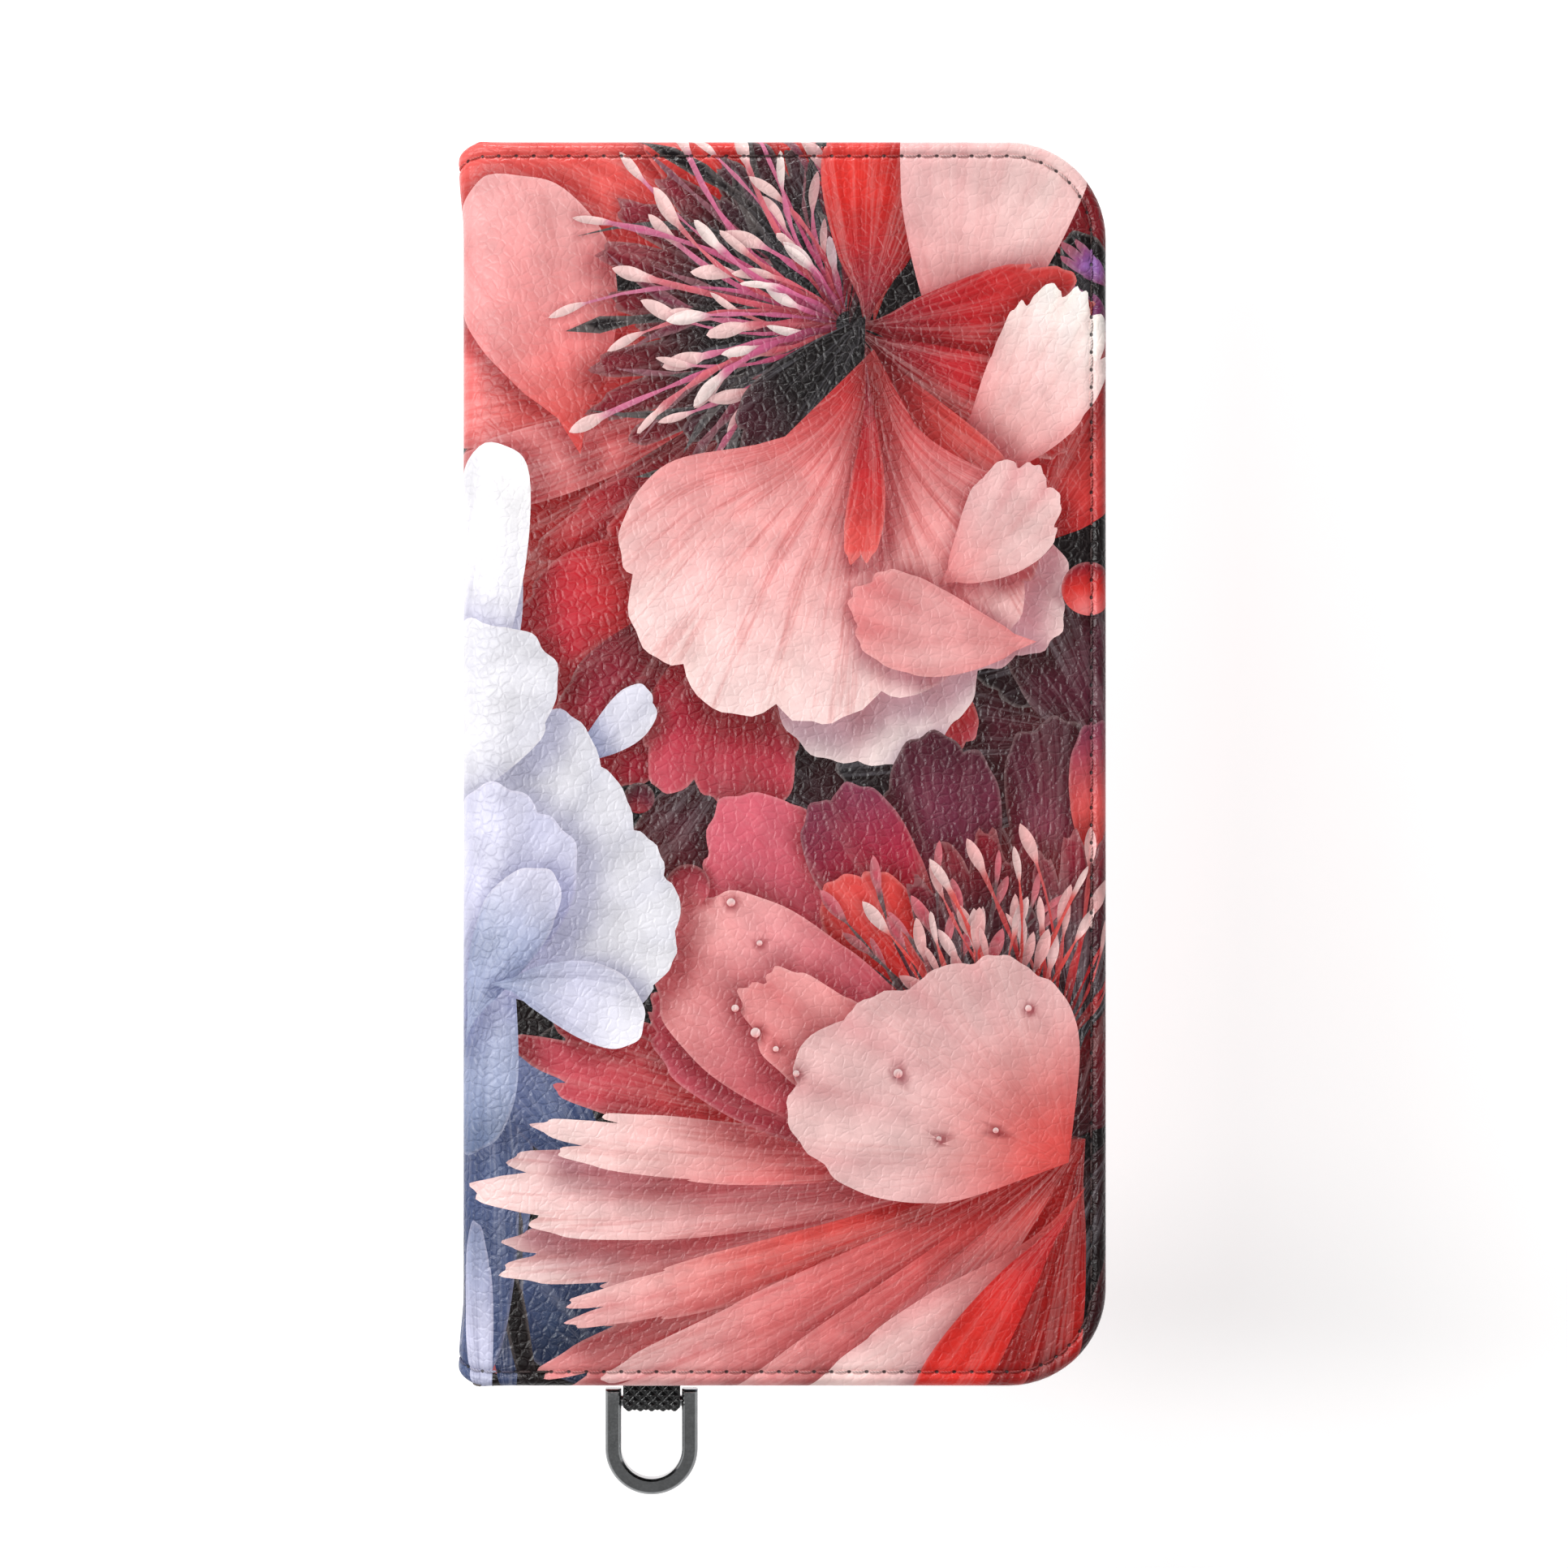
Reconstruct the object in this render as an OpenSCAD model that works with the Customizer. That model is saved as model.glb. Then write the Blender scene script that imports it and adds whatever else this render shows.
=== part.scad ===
// Folio phone case: a printed leather-look wrap around two boards, a snap-in phone tray,
// card pockets on the inside of the cover, and a strap ring on the bottom edge.
// It lies closed on its back: +Z is up through the cover, +Y is the top of the phone,
// -X is the spine. The origin is the middle of the back face. All sizes are in millimetres.

/* [Phone] */
// Width of the phone that the case holds
phone_w = 71.5; // [68:0.5:78]
// Height of the phone
phone_h = 147; // [140:0.5:165]
// Thickness of the phone
phone_t = 7.9; // [7:0.1:9]
// Radius of the phone's corners, seen from the front
phone_corner_r = 10.5; // [8:0.5:12]

/* [Wrap] */
// Thickness of the printed skin
skin_t = 0.8; // [0.6:0.1:1]
// Thickness of the stiffening boards
board_t = 1.2; // [1:0.1:1.6]
// Thickness of the lining
lining_t = 0.5; // [0.4:0.1:0.6]
// Radius of the two free corners of each cover
cover_corner_r = 12; // [10:0.5:14]
// Outer radius of each fold at the spine
fold_r = 3; // [2.5:0.1:4]
// Distance from the fold to the edge of the board
hinge_gap = 1.1; // [0.8:0.1:2]
// Distance from the edge to the stitch line
stitch_inset = 1.85; // [1.5:0.05:2.5]

/* [Tray] */
// Wall thickness of the tray
tray_wall = 1.5; // [1.2:0.1:2]
// Floor thickness of the tray
tray_floor = 1.2; // [1:0.1:2]
// How far the snap lip reaches in over the phone
lip_reach = 0.5; // [0.3:0.1:0.8]
// Width of the camera window
camera_w = 34; // [20:0.5:40]
// Height of the camera window
camera_h = 36; // [20:0.5:42]

/* [Pockets] */
// Number of card slots
card_slots = 3; // [1:1:4]
// Step between the mouths of neighbouring card slots
slot_step = 15; // [12:1:18]
// Thickness of each pocket panel
panel_t = 0.5; // [0.4:0.1:0.6]

/* [Strap ring] */
// Clear width between the legs of the ring
ring_gap = 7.7; // [7:0.1:12]
// Width of each leg
ring_leg = 2; // [1.6:0.1:3]
// Thickness of the ring
ring_t = 2.2; // [1.6:0.1:2.4]
// Length from the pin to the middle of the bow
ring_drop = 5.95; // [5:0.05:12]
// Distance from the bottom edge of the cover to the pin
pin_drop = 4.25; // [3:0.05:6]
// Thickness of the strap that loops round the pin
strap_t = 0.6; // [0.5:0.05:0.6]

/* [Hidden] */
$fn = 64;

// Tray, in plan.
phone_fit = 0.1;
edge_margin = 2.2;
end_margin = 1.4;
spine_gap = 1;
tray_w = phone_w + 2 * (phone_fit + tray_wall);
tray_h = phone_h + 2 * (phone_fit + tray_wall);
tray_r = phone_corner_r + phone_fit + tray_wall;

// Wrap, in plan.
cover_w = skin_t + lining_t + spine_gap + tray_w + edge_margin;
cover_h = tray_h + 2 * end_margin;
x_spine = -cover_w / 2;
x_edge = cover_w / 2;
x_fold = x_spine + fold_r;
x_board = x_fold + hinge_gap;
tray_x = x_spine + skin_t + lining_t + spine_gap + tray_w / 2;

// Levels, from the back face up.
pad_t = 0.2;
lip_t = 0.5;
closing_gap = 0.3;
cover_t = skin_t + board_t + lining_t;
z_pad = cover_t;
z_tray = z_pad + pad_t;
z_phone = z_tray + tray_floor;
z_lip = z_phone + phone_t;
z_tray_top = z_lip + lip_t;
z_pockets = z_tray_top + closing_gap;
z_cash = z_pockets + card_slots * panel_t;
z_lining = z_cash + panel_t;
case_t = z_lining + cover_t;
z_mid = case_t / 2;

// The covers and the spine part at 45 degrees round each fold, across this gap.
fold_parting = 0.4;
parting_offset = fold_parting / sqrt(2);
past = 10; // how far a cutting shape runs past what it cuts

// Thread and its groove.
thread_w = 0.6;
thread_d = 0.3;
lining_thread_d = 0.25;
y_stitch = cover_h / 2 - stitch_inset;

// Camera window, seen through the closed cover: towards the free edge and the top.
camera_r = 8;
camera_x = tray_x + phone_w / 2 - 3 - camera_w / 2;
camera_y = phone_h / 2 - 3 - camera_h / 2;

// Openings in the tray's walls.
z_keys = z_phone + phone_t / 2;
port_l = 42;
port_d = 6;
key_d = 5;
volume_y = 37;
volume_l = 38;
power_y = 22;
power_l = 16;

// Closing magnets, in line down the free edge.
magnet_l = 14;
magnet_y = 48;
tray_magnet_t = 1.4;
tray_magnet_h = 5;
boss_t = 1;
boss_l = magnet_l + 3;
front_magnet_w = 4;
front_magnet_x = x_edge - 5.5;

// Pocket panels.
panel_inset = 3.2;
x_panel = x_board + 1.8;
slot_top_y = 44;
hem_inset = 1.5;

// Strap ring.
tab_w = 7.2;
tab_tail = 8;
ring_x = -16.8;
y_edge = -cover_h / 2;
y_pin = y_edge - pin_drop;
z_pin = skin_t + board_t / 2;
loop_r = z_pin - strap_t; // inner radius of the strap's loop, whose outside just clears the back face
pin_clearance = 0.07;
pin_r = loop_r - pin_clearance;
pin_seat = 1.2; // how deep each end of the pin sits in its leg
ring_end = 0.5; // how far the legs run past the pin before their rounded ends
ring_bevel = 0.35;

// ---- plan shapes ----

// The cover seen from above, inset all round, starting at x0 on the spine side.
module cover_plan(inset, x0) {
    x_round = x_edge - cover_corner_r;
    half = cover_h / 2;
    translate([x0, inset - half]) square([x_round - x0, 2 * (half - inset)]);
    translate([x_round - 1, cover_corner_r - half])
        square([cover_corner_r - inset + 1, 2 * (half - cover_corner_r)]);
    for (side = [-1, 1])
        translate([x_round, side * (half - cover_corner_r)]) circle(cover_corner_r - inset);
}

module rounded_rectangle(w, h, r) {
    square([w, h - 2 * r], center = true);
    square([w - 2 * r, h], center = true);
    for (sx = [-1, 1], sy = [-1, 1])
        translate([sx * (w / 2 - r), sy * (h / 2 - r)]) circle(r);
}

module tray_plan(inset) {
    translate([tray_x, 0])
        rounded_rectangle(tray_w - 2 * inset, tray_h - 2 * inset, tray_r - inset);
}

module slab(z0, z1) {
    translate([0, 0, z0]) linear_extrude(z1 - z0) children();
}

module camera_cut() {
    slab(-1, z_phone + 1)
        translate([camera_x, camera_y]) rounded_rectangle(camera_w, camera_h, camera_r);
}

// ---- the wrap's section, drawn in X and Z and run along Y ----

module wrap_outline(inset) {
    r = fold_r - inset;
    translate([x_fold, inset]) square([cover_w, case_t - 2 * inset]);
    translate([x_spine + inset, fold_r]) square([r + 1, case_t - 2 * fold_r]);
    for (z = [fold_r, case_t - fold_r]) translate([x_fold, z]) circle(r);
}

// One layer of the wrap, from depth d0 to depth d1 below its outer face.
module wrap_layer(d0, d1) {
    difference() {
        wrap_outline(d0);
        wrap_outline(d1);
    }
}

module cover_region() {
    x = x_fold + parting_offset;
    z = case_t - fold_r;
    polygon([
        [x, z_mid], [x, z], [x - past, z + past],
        [x_edge + past, z + past], [x_edge + past, z_mid],
    ]);
}

module spine_region() {
    x = x_fold - parting_offset;
    polygon([
        [x, fold_r], [x, case_t - fold_r],
        [x - past, case_t - fold_r + past], [x - past, fold_r - past],
    ]);
}

module run_along_y(length) {
    rotate([90, 0, 0]) linear_extrude(length, center = true) children();
}

// Shapes made as the front cover, turned over to make the back cover.
module as_back() {
    translate([0, 0, case_t]) mirror([0, 0, 1]) children();
}

// ---- layers of one cover, made as the front cover ----

module thread_run(inset_d, z0, z1) {
    slab(z0, z1) difference() {
        cover_plan(inset_d - thread_w / 2, x_fold);
        cover_plan(inset_d + thread_w / 2, x_fold - 1);
    }
}

// The outer stitch line, with its short runs over the fold.
module outer_thread() {
    thread_run(stitch_inset, case_t - thread_d, case_t);
    for (side = [-1, 1]) translate([0, side * y_stitch, 0])
        run_along_y(thread_w) intersection() {
            wrap_layer(0, thread_d);
            cover_region();
            translate([x_spine - 1, z_mid]) square([fold_r + 1, case_t]);
        }
}

// The same stitch line where it shows on the lining.
module inner_thread() {
    z = case_t - cover_t;
    intersection() {
        thread_run(stitch_inset, z, z + lining_thread_d);
        translate([x_board, -cover_h, 0]) cube([cover_w, 2 * cover_h, case_t]);
    }
}

module cover_skin() {
    difference() {
        union() {
            intersection() {
                run_along_y(cover_h) intersection() {
                    wrap_layer(0, skin_t);
                    cover_region();
                }
                slab(0, case_t) cover_plan(0, x_spine - 1);
            }
            // Edge turned down over the board.
            slab(case_t - cover_t, case_t - skin_t) difference() {
                cover_plan(0, x_board);
                cover_plan(skin_t, x_board - 1);
            }
        }
        outer_thread();
    }
}

module cover_board() {
    slab(case_t - skin_t - board_t, case_t - skin_t) cover_plan(skin_t, x_board);
}

module cover_lining() {
    z = case_t - cover_t;
    difference() {
        intersection() {
            run_along_y(cover_h - 2 * skin_t) {
                intersection() {
                    wrap_layer(skin_t, skin_t + lining_t);
                    cover_region();
                    translate([x_spine, z_mid]) square([x_board - x_spine, z_mid]);
                }
                // Step down over the edge of the board.
                translate([x_board - lining_t, z]) square([lining_t, board_t + lining_t]);
                translate([x_board - lining_t, z]) square([cover_w, lining_t]);
            }
            slab(0, case_t) cover_plan(skin_t, x_spine);
        }
        inner_thread();
    }
}

// ---- back cover ----

module tab_shape(clearance) {
    w = tab_w + 2 * clearance;
    translate([ring_x - w / 2, 0, 0]) rotate([90, 0, 90]) linear_extrude(w) difference() {
        union() {
            translate([y_pin, z_pin - strap_t])
                square([pin_drop + tab_tail + clearance, 2 * strap_t]);
            translate([y_pin, z_pin]) circle(z_pin);
        }
        translate([y_pin, z_pin]) circle(loop_r);
    }
}

module back_skin() {
    color("salmon") difference() {
        as_back() cover_skin();
        camera_cut();
        tab_shape(0);
    }
}

module back_board() {
    color("dimgray") difference() {
        as_back() cover_board();
        camera_cut();
        tab_shape(0);
    }
}

module back_lining() {
    color([0.13, 0.13, 0.14]) difference() {
        as_back() cover_lining();
        camera_cut();
    }
}

module back_thread() {
    color("lightpink") as_back() {
        outer_thread();
        inner_thread();
    }
}

module adhesive_pad() {
    pad_inset = 6;
    color("whitesmoke") difference() {
        slab(z_pad, z_tray) tray_plan(pad_inset);
        slab(-1, z_phone) translate([camera_x, camera_y])
            rounded_rectangle(camera_w + 4, camera_h + 4, camera_r + 2);
    }
}

// ---- phone tray ----

// A slot with round ends, l long and d across, through a wall. Its length lies along Y.
module key_slot(x, y, l, d) {
    depth = 3 * tray_wall;
    translate([x - depth / 2, y, z_keys]) rotate([90, 0, 90]) linear_extrude(depth) {
        square([l - d, d], center = true);
        for (side = [-1, 1]) translate([side * (l - d) / 2, 0]) circle(d / 2);
    }
}

module tray_magnet_box(extra) {
    for (side = [-1, 1])
        translate([
            tray_x + tray_w / 2 + boss_t - tray_magnet_t,
            side * magnet_y - magnet_l / 2,
            z_keys - tray_magnet_h / 2
        ])
            cube([tray_magnet_t + extra, magnet_l, tray_magnet_h]);
}

module phone_tray() {
    color([0.1, 0.1, 0.11]) difference() {
        union() {
            slab(z_tray, z_tray_top) tray_plan(0);
            for (side = [-1, 1])
                translate([tray_x + tray_w / 2 - 1, side * magnet_y - boss_l / 2, z_phone])
                    cube([1 + boss_t, boss_l, phone_t]);
        }
        slab(z_phone, z_lip) tray_plan(tray_wall);
        slab(z_lip - 1, z_tray_top + 1) tray_plan(tray_wall + lip_reach);
        camera_cut();
        tray_magnet_box(1);
        key_slot(tray_x - tray_w / 2, volume_y, volume_l, key_d);
        key_slot(tray_x + tray_w / 2, power_y, power_l, key_d);
        // Charging port and speakers.
        translate([tray_x, 0, 0]) rotate([0, 0, 90])
            key_slot(-tray_h / 2, 0, port_l, port_d);
    }
}

module tray_magnets() {
    color("silver") tray_magnet_box(0);
}

// ---- strap ring ----

module ring_tab() {
    color([0.08, 0.08, 0.08]) tab_shape(0);
}

// The ring's outline seen from above, pin at the origin, bow towards -Y.
module ring_plan(inset) {
    r_in = ring_gap / 2 + inset;
    r_out = ring_gap / 2 + ring_leg - inset;
    difference() {
        union() {
            translate([-r_out, -ring_drop]) square([2 * r_out, ring_drop + ring_end + ring_t / 2]);
            translate([0, -ring_drop]) circle(r_out);
        }
        translate([-r_in, -ring_drop]) square([2 * r_in, ring_drop + past]);
        translate([0, -ring_drop]) circle(r_in);
    }
}

// Rounds the ends of both legs, seen from the side.
module ring_side() {
    length = ring_drop + ring_gap / 2 + ring_leg;
    half = ring_gap / 2 + ring_leg;
    translate([-half, 0, 0]) rotate([90, 0, 90]) linear_extrude(2 * half) {
        translate([-length, -ring_t / 2]) square([length + ring_end, ring_t]);
        translate([ring_end, 0]) circle(ring_t / 2);
    }
}

module strap_ring() {
    color([0.36, 0.37, 0.38]) translate([ring_x, y_pin, z_pin]) difference() {
        intersection() {
            union() {
                slab(ring_bevel - ring_t / 2, ring_t / 2 - ring_bevel) ring_plan(0);
                slab(-ring_t / 2, ring_t / 2) ring_plan(ring_bevel);
            }
            ring_side();
        }
        ring_pin_shape();
    }
}

module ring_pin_shape() {
    rotate([0, 90, 0]) cylinder(h = ring_gap + 2 * pin_seat, r = pin_r, center = true);
}

module ring_pin() {
    color([0.3, 0.31, 0.32]) translate([ring_x, y_pin, z_pin]) ring_pin_shape();
}

// ---- spine ----

module spine_skin() {
    color("salmon") difference() {
        run_along_y(cover_h) intersection() {
            wrap_layer(0, skin_t);
            spine_region();
        }
        spine_thread_shape();
    }
}

module spine_lining() {
    color([0.13, 0.13, 0.14]) run_along_y(cover_h - 2 * skin_t) intersection() {
        wrap_layer(skin_t, skin_t + lining_t);
        spine_region();
    }
}

module spine_thread_shape() {
    for (side = [-1, 1]) translate([0, side * y_stitch, 0])
        run_along_y(thread_w) intersection() {
            wrap_layer(0, thread_d);
            spine_region();
        }
}

module spine_thread() {
    color("lightpink") spine_thread_shape();
}

// ---- front cover ----

module front_skin() {
    color("salmon") cover_skin();
}

module front_magnet_boxes() {
    for (side = [-1, 1])
        translate([
            front_magnet_x - front_magnet_w / 2,
            side * magnet_y - magnet_l / 2,
            case_t - skin_t - board_t
        ])
            cube([front_magnet_w, magnet_l, board_t]);
}

module front_board() {
    color("dimgray") difference() {
        cover_board();
        front_magnet_boxes();
    }
}

module front_magnets() {
    color("silver") front_magnet_boxes();
}

module front_lining() {
    color([0.13, 0.13, 0.14]) cover_lining();
}

module front_thread() {
    color("lightpink") {
        outer_thread();
        inner_thread();
    }
}

// A pocket panel's plan: inset from the cover's edge, up to y_top.
module panel_plan(y_top, extra) {
    intersection() {
        cover_plan(panel_inset + extra, x_panel + extra);
        translate([x_spine, y_edge]) square([cover_w, y_top - y_edge]);
    }
}

module cash_pocket() {
    color([0.16, 0.16, 0.17]) slab(z_cash, z_lining) panel_plan(cover_h / 2, 0);
}

// Card slots are stepped: each lies over the one above it. Slot 0 is the upper one.
module card_slot(i) {
    z = z_cash - i * panel_t;
    color([0.18, 0.18, 0.19]) difference() {
        slab(z - panel_t, z) panel_plan(slot_top_y - i * slot_step, 0);
        if (i == card_slots - 1) pocket_thread_shape();
    }
}

// Stitch line down both sides and across the foot of the card slots.
module pocket_thread_shape() {
    y_top = slot_top_y - (card_slots - 1) * slot_step;
    slab(z_pockets, z_pockets + lining_thread_d) difference() {
        panel_plan(y_top, hem_inset);
        panel_plan(y_top + 1, hem_inset + thread_w);
    }
}

module pocket_thread() {
    color([0.24, 0.24, 0.25]) pocket_thread_shape();
}

back_skin();
back_board();
back_lining();
back_thread();
adhesive_pad();
phone_tray();
tray_magnets();
ring_tab();
strap_ring();
ring_pin();
spine_skin();
spine_lining();
spine_thread();
front_skin();
front_board();
front_magnets();
front_lining();
front_thread();
cash_pocket();
card_slot(0);  // card_slot_upper
card_slot(1);  // card_slot_middle
card_slot(2);  // card_slot_lower
pocket_thread();
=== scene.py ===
"""Looks of a folio phone case: printed leather wrap, lining, stitches, pockets, strap and ring.

The wrap is drawn flat, as the sheet it is cut from, and then laid round the CAD profile. Flat
coordinates are in millimetres: the first is the front cover's own x, carried on to the left over
the spine and the back cover, and the second is y. Each petal of the print is an outline on that
sheet. The sheet is triangulated along all of them, so that their edges stay crisp at any distance.
"""

import math

import bmesh
import bpy
import numpy as np
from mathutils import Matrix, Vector, geometry


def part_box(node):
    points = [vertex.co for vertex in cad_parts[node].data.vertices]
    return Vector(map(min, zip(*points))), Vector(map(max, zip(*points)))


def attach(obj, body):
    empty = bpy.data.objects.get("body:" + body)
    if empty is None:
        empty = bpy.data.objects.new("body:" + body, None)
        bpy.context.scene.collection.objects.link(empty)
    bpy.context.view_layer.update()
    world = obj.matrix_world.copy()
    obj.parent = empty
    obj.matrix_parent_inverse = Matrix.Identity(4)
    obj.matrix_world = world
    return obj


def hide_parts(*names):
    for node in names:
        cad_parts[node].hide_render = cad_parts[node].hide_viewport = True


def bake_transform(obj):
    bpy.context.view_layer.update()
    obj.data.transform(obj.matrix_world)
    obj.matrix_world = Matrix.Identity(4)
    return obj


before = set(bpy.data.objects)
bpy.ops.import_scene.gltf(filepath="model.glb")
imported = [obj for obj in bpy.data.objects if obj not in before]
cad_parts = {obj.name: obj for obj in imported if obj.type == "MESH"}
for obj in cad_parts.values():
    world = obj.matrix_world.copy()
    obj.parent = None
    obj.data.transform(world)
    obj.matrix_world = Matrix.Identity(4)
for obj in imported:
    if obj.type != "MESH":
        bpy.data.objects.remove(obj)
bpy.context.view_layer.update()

MM = 0.001
TAU = 2 * math.pi


def node_box(name):
    """Lowest and highest corners of a CAD node, in millimetres."""
    low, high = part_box(name)
    return [c / MM for c in low], [c / MM for c in high]


# ---- sizes, from the frame ----

EDGE_X, HALF_H, CASE_T = node_box("front_skin")[1]
COVER_T = CASE_T - node_box("front_lining")[0][2]
SPINE_X = node_box("spine_skin")[0][0]
BOARD_X = node_box("front_board")[0][0]
FOLD_R = 3.0  # radius of the wrap at the folds
CORNER_R = 12.0
SPINE_T = 1.3  # the wrap's thickness where it has no board
MID_Z = CASE_T / 2
FOLD_X = SPINE_X + FOLD_R
SPINE_HALF = MID_Z - FOLD_R
FOLD_ARC = FOLD_R * math.pi / 2
SPINE_MID = FOLD_X - FOLD_ARC - SPINE_HALF  # the spine's middle on the flat sheet
SHEET_HALF = EDGE_X - SPINE_MID
FLAT_START = SPINE_HALF + FOLD_ARC  # from the spine's middle to where a cover is flat
HINGE = BOARD_X - FOLD_X  # from a fold to the edge of the board
BACK_FLAT = SPINE_MID - FLAT_START  # where the back cover starts on the flat sheet

EDGE_ROLL = COVER_T / 2
SPINE_ROLL = SPINE_T / 2
TURN_IN = 0.15  # how far the turned edge runs in under the cover
SHEET_MARGIN = (math.pi - 1) * EDGE_ROLL + TURN_IN

STITCH_INSET = 1.85
STITCH_PITCH = 2.15
GROOVE_W, GROOVE_D = 0.42, 0.26  # of the groove that the stitches pull in
LINING_INSET = 1.45
LINING_ROUND = 0.22
SHOULDER, SHOULDER_DROP, SHOULDER_MOST = 2.9, 0.34, 0.62  # where the covers slope off to the spine
FLARE = 0.5  # how far the spine widens at its two ends
PINCH_RUN, PINCH_DEPTH = 2.4, 1.6  # of the rounding at the corners of the spine
SKIN_T, LINING_T = 0.28, 0.4

CAMERA_W, CAMERA_H, CAMERA_R = 34.0, 36.0, 8.0
CAMERA_X, CAMERA_Y = 15.8, 52.5
CAMERA_FLAT = (BACK_FLAT - (CAMERA_X - FOLD_X), CAMERA_Y)


def smooth(x, low, high):
    """0 below low, 1 above high, and an S-curve between."""
    t = np.clip((np.asarray(x, float) - low) / (high - low), 0, 1)
    return t * t * (3 - 2 * t)


# ---- the sheet laid round the case ----


def rounded_distance(points, centre, half_w, half_h, radius):
    """How far each point lies inside a rounded rectangle, and the direction that leads further in."""
    p = points - np.array(centre)
    side = np.where(p < 0, -1.0, 1.0)
    q = np.abs(p) - (np.array([half_w, half_h]) - radius)
    outside = np.maximum(q, 0)
    reach = np.linalg.norm(outside, axis=1)
    inside = radius - reach - np.minimum(q.max(axis=1), 0)
    nearest = np.zeros_like(p)
    nearest[np.arange(len(p)), q.argmax(axis=1)] = 1.0
    corner = (reach > 1e-9)[:, None]
    outward = np.where(corner, outside / np.maximum(reach, 1e-9)[:, None], nearest) * side
    return inside, -outward


def edge_distance(points):
    """How far each point lies from the sheet's nearest edge, outer edge or camera window."""
    inside, inward = rounded_distance(points, (SPINE_MID, 0), SHEET_HALF, HALF_H, CORNER_R)
    window, to_window = rounded_distance(points, CAMERA_FLAT, CAMERA_W / 2, CAMERA_H / 2, CAMERA_R)
    at_window = -window < inside
    distance = np.where(at_window, -window, inside)
    direction = np.where(at_window[:, None], -to_window, inward)
    return distance, direction, inside


def on_profile(flat_x, depth):
    """The wrap's section: x and z for a place on the flat sheet, depth below its outer face."""
    run = np.abs(flat_x - SPINE_MID)
    front = flat_x >= SPINE_MID
    angle = np.clip((run - SPINE_HALF) / FOLD_R, 0, math.pi / 2)
    on_spine = run < SPINE_HALF
    on_cover = run > FLAT_START
    x = FOLD_X - (FOLD_R - depth) * np.cos(angle)
    z = MID_Z + SPINE_HALF + (FOLD_R - depth) * np.sin(angle)
    x = np.where(on_spine, SPINE_X + depth, np.where(on_cover, FOLD_X + run - FLAT_START, x))
    z = np.where(on_spine, MID_Z + run, np.where(on_cover, CASE_T - depth, z))
    return x, np.where(front, z, CASE_T - z)


def board_share(flat_x):
    """0 over the spine and the folds, 1 over the boards."""
    run = np.abs(flat_x - SPINE_MID)
    return smooth(run, FLAT_START + HINGE - 0.7, FLAT_START + HINGE + 0.1)


def groove(inset, width=GROOVE_W):
    """How deep the stitches have pulled the sheet in, at a distance from its edge."""
    return GROOVE_D * np.exp(-(((inset - STITCH_INSET) / width) ** 2))


def sag(flat_x, y):
    """How far the skin lies below the plain section: it slopes off towards the folds.

    Where the value is negative, at the spine's two ends, it flares outward."""
    run = np.abs(flat_x - SPINE_MID)
    on_cover = smooth(run, SPINE_HALF, FLAT_START)
    t = np.maximum(1 - (run - FLAT_START) / SHOULDER, 0)
    slope = np.minimum(np.where(t < 1, t * t, 2 * t - 1) * SHOULDER_DROP, SHOULDER_MOST)
    flare = FLARE * smooth(np.abs(y), HALF_H - 11, HALF_H - 2.5)
    return slope * on_cover - flare * (1 - on_cover)


def lay_out(points, lining=False, lift=0.0):
    """Places points of the flat sheet on the case. The lining lies on the wrap's inner face."""
    distance, inward, outer = edge_distance(points)
    share = board_share(points[:, 0])
    thickness = SPINE_T + (COVER_T - SPINE_T) * share
    if lining:
        t = np.clip((distance - LINING_INSET) / LINING_ROUND, 0, 1)
        depth = thickness - LINING_ROUND * (1 - np.sqrt(1 - (1 - t) ** 2)) + 0.02
        depth = depth - 0.5 * groove(outer, 0.6 * GROOVE_W) + lift
        place = points
    else:
        roll = SPINE_ROLL + (EDGE_ROLL - SPINE_ROLL) * smooth(
            np.abs(points[:, 0] - SPINE_MID), FLAT_START - 1, FLAT_START + 3)
        length = math.pi * roll + TURN_IN
        past = np.maximum(roll - distance, 0) * length / (roll + SHEET_MARGIN)
        angle = np.minimum(past / roll, math.pi)
        rolled = roll * (1 - np.sin(angle)) + np.maximum(past - math.pi * roll, 0)
        inset = np.where(past > 0, rolled, distance)
        depth = roll * (1 - np.cos(angle)) * (past > 0)
        shoulder = 0.1 * smooth(outer, 0.8, 4.2) * (distance > roll)
        depth = depth + groove(outer) + shoulder - 0.1 + sag(*points.T) * (distance > -1) - lift
        place = points + inward * (inset - distance)[:, None]
    x, z = on_profile(place[:, 0], depth)
    # The spine's two ends are pinched in where the turned edge goes round them.
    turned = np.cos(np.clip((np.abs(points[:, 0] - SPINE_MID) - SPINE_HALF) / FOLD_R, 0, math.pi / 2))
    inner = np.clip(FOLD_R * (1 - turned) / PINCH_RUN, 0, 1)
    pinch = PINCH_DEPTH * (1 - np.sqrt(1 - (1 - inner) ** 2))
    pinch = pinch * smooth(np.abs(points[:, 1]), HALF_H - 14, HALF_H)
    return np.column_stack([x, place[:, 1] - np.sign(points[:, 1]) * pinch, z])


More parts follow.
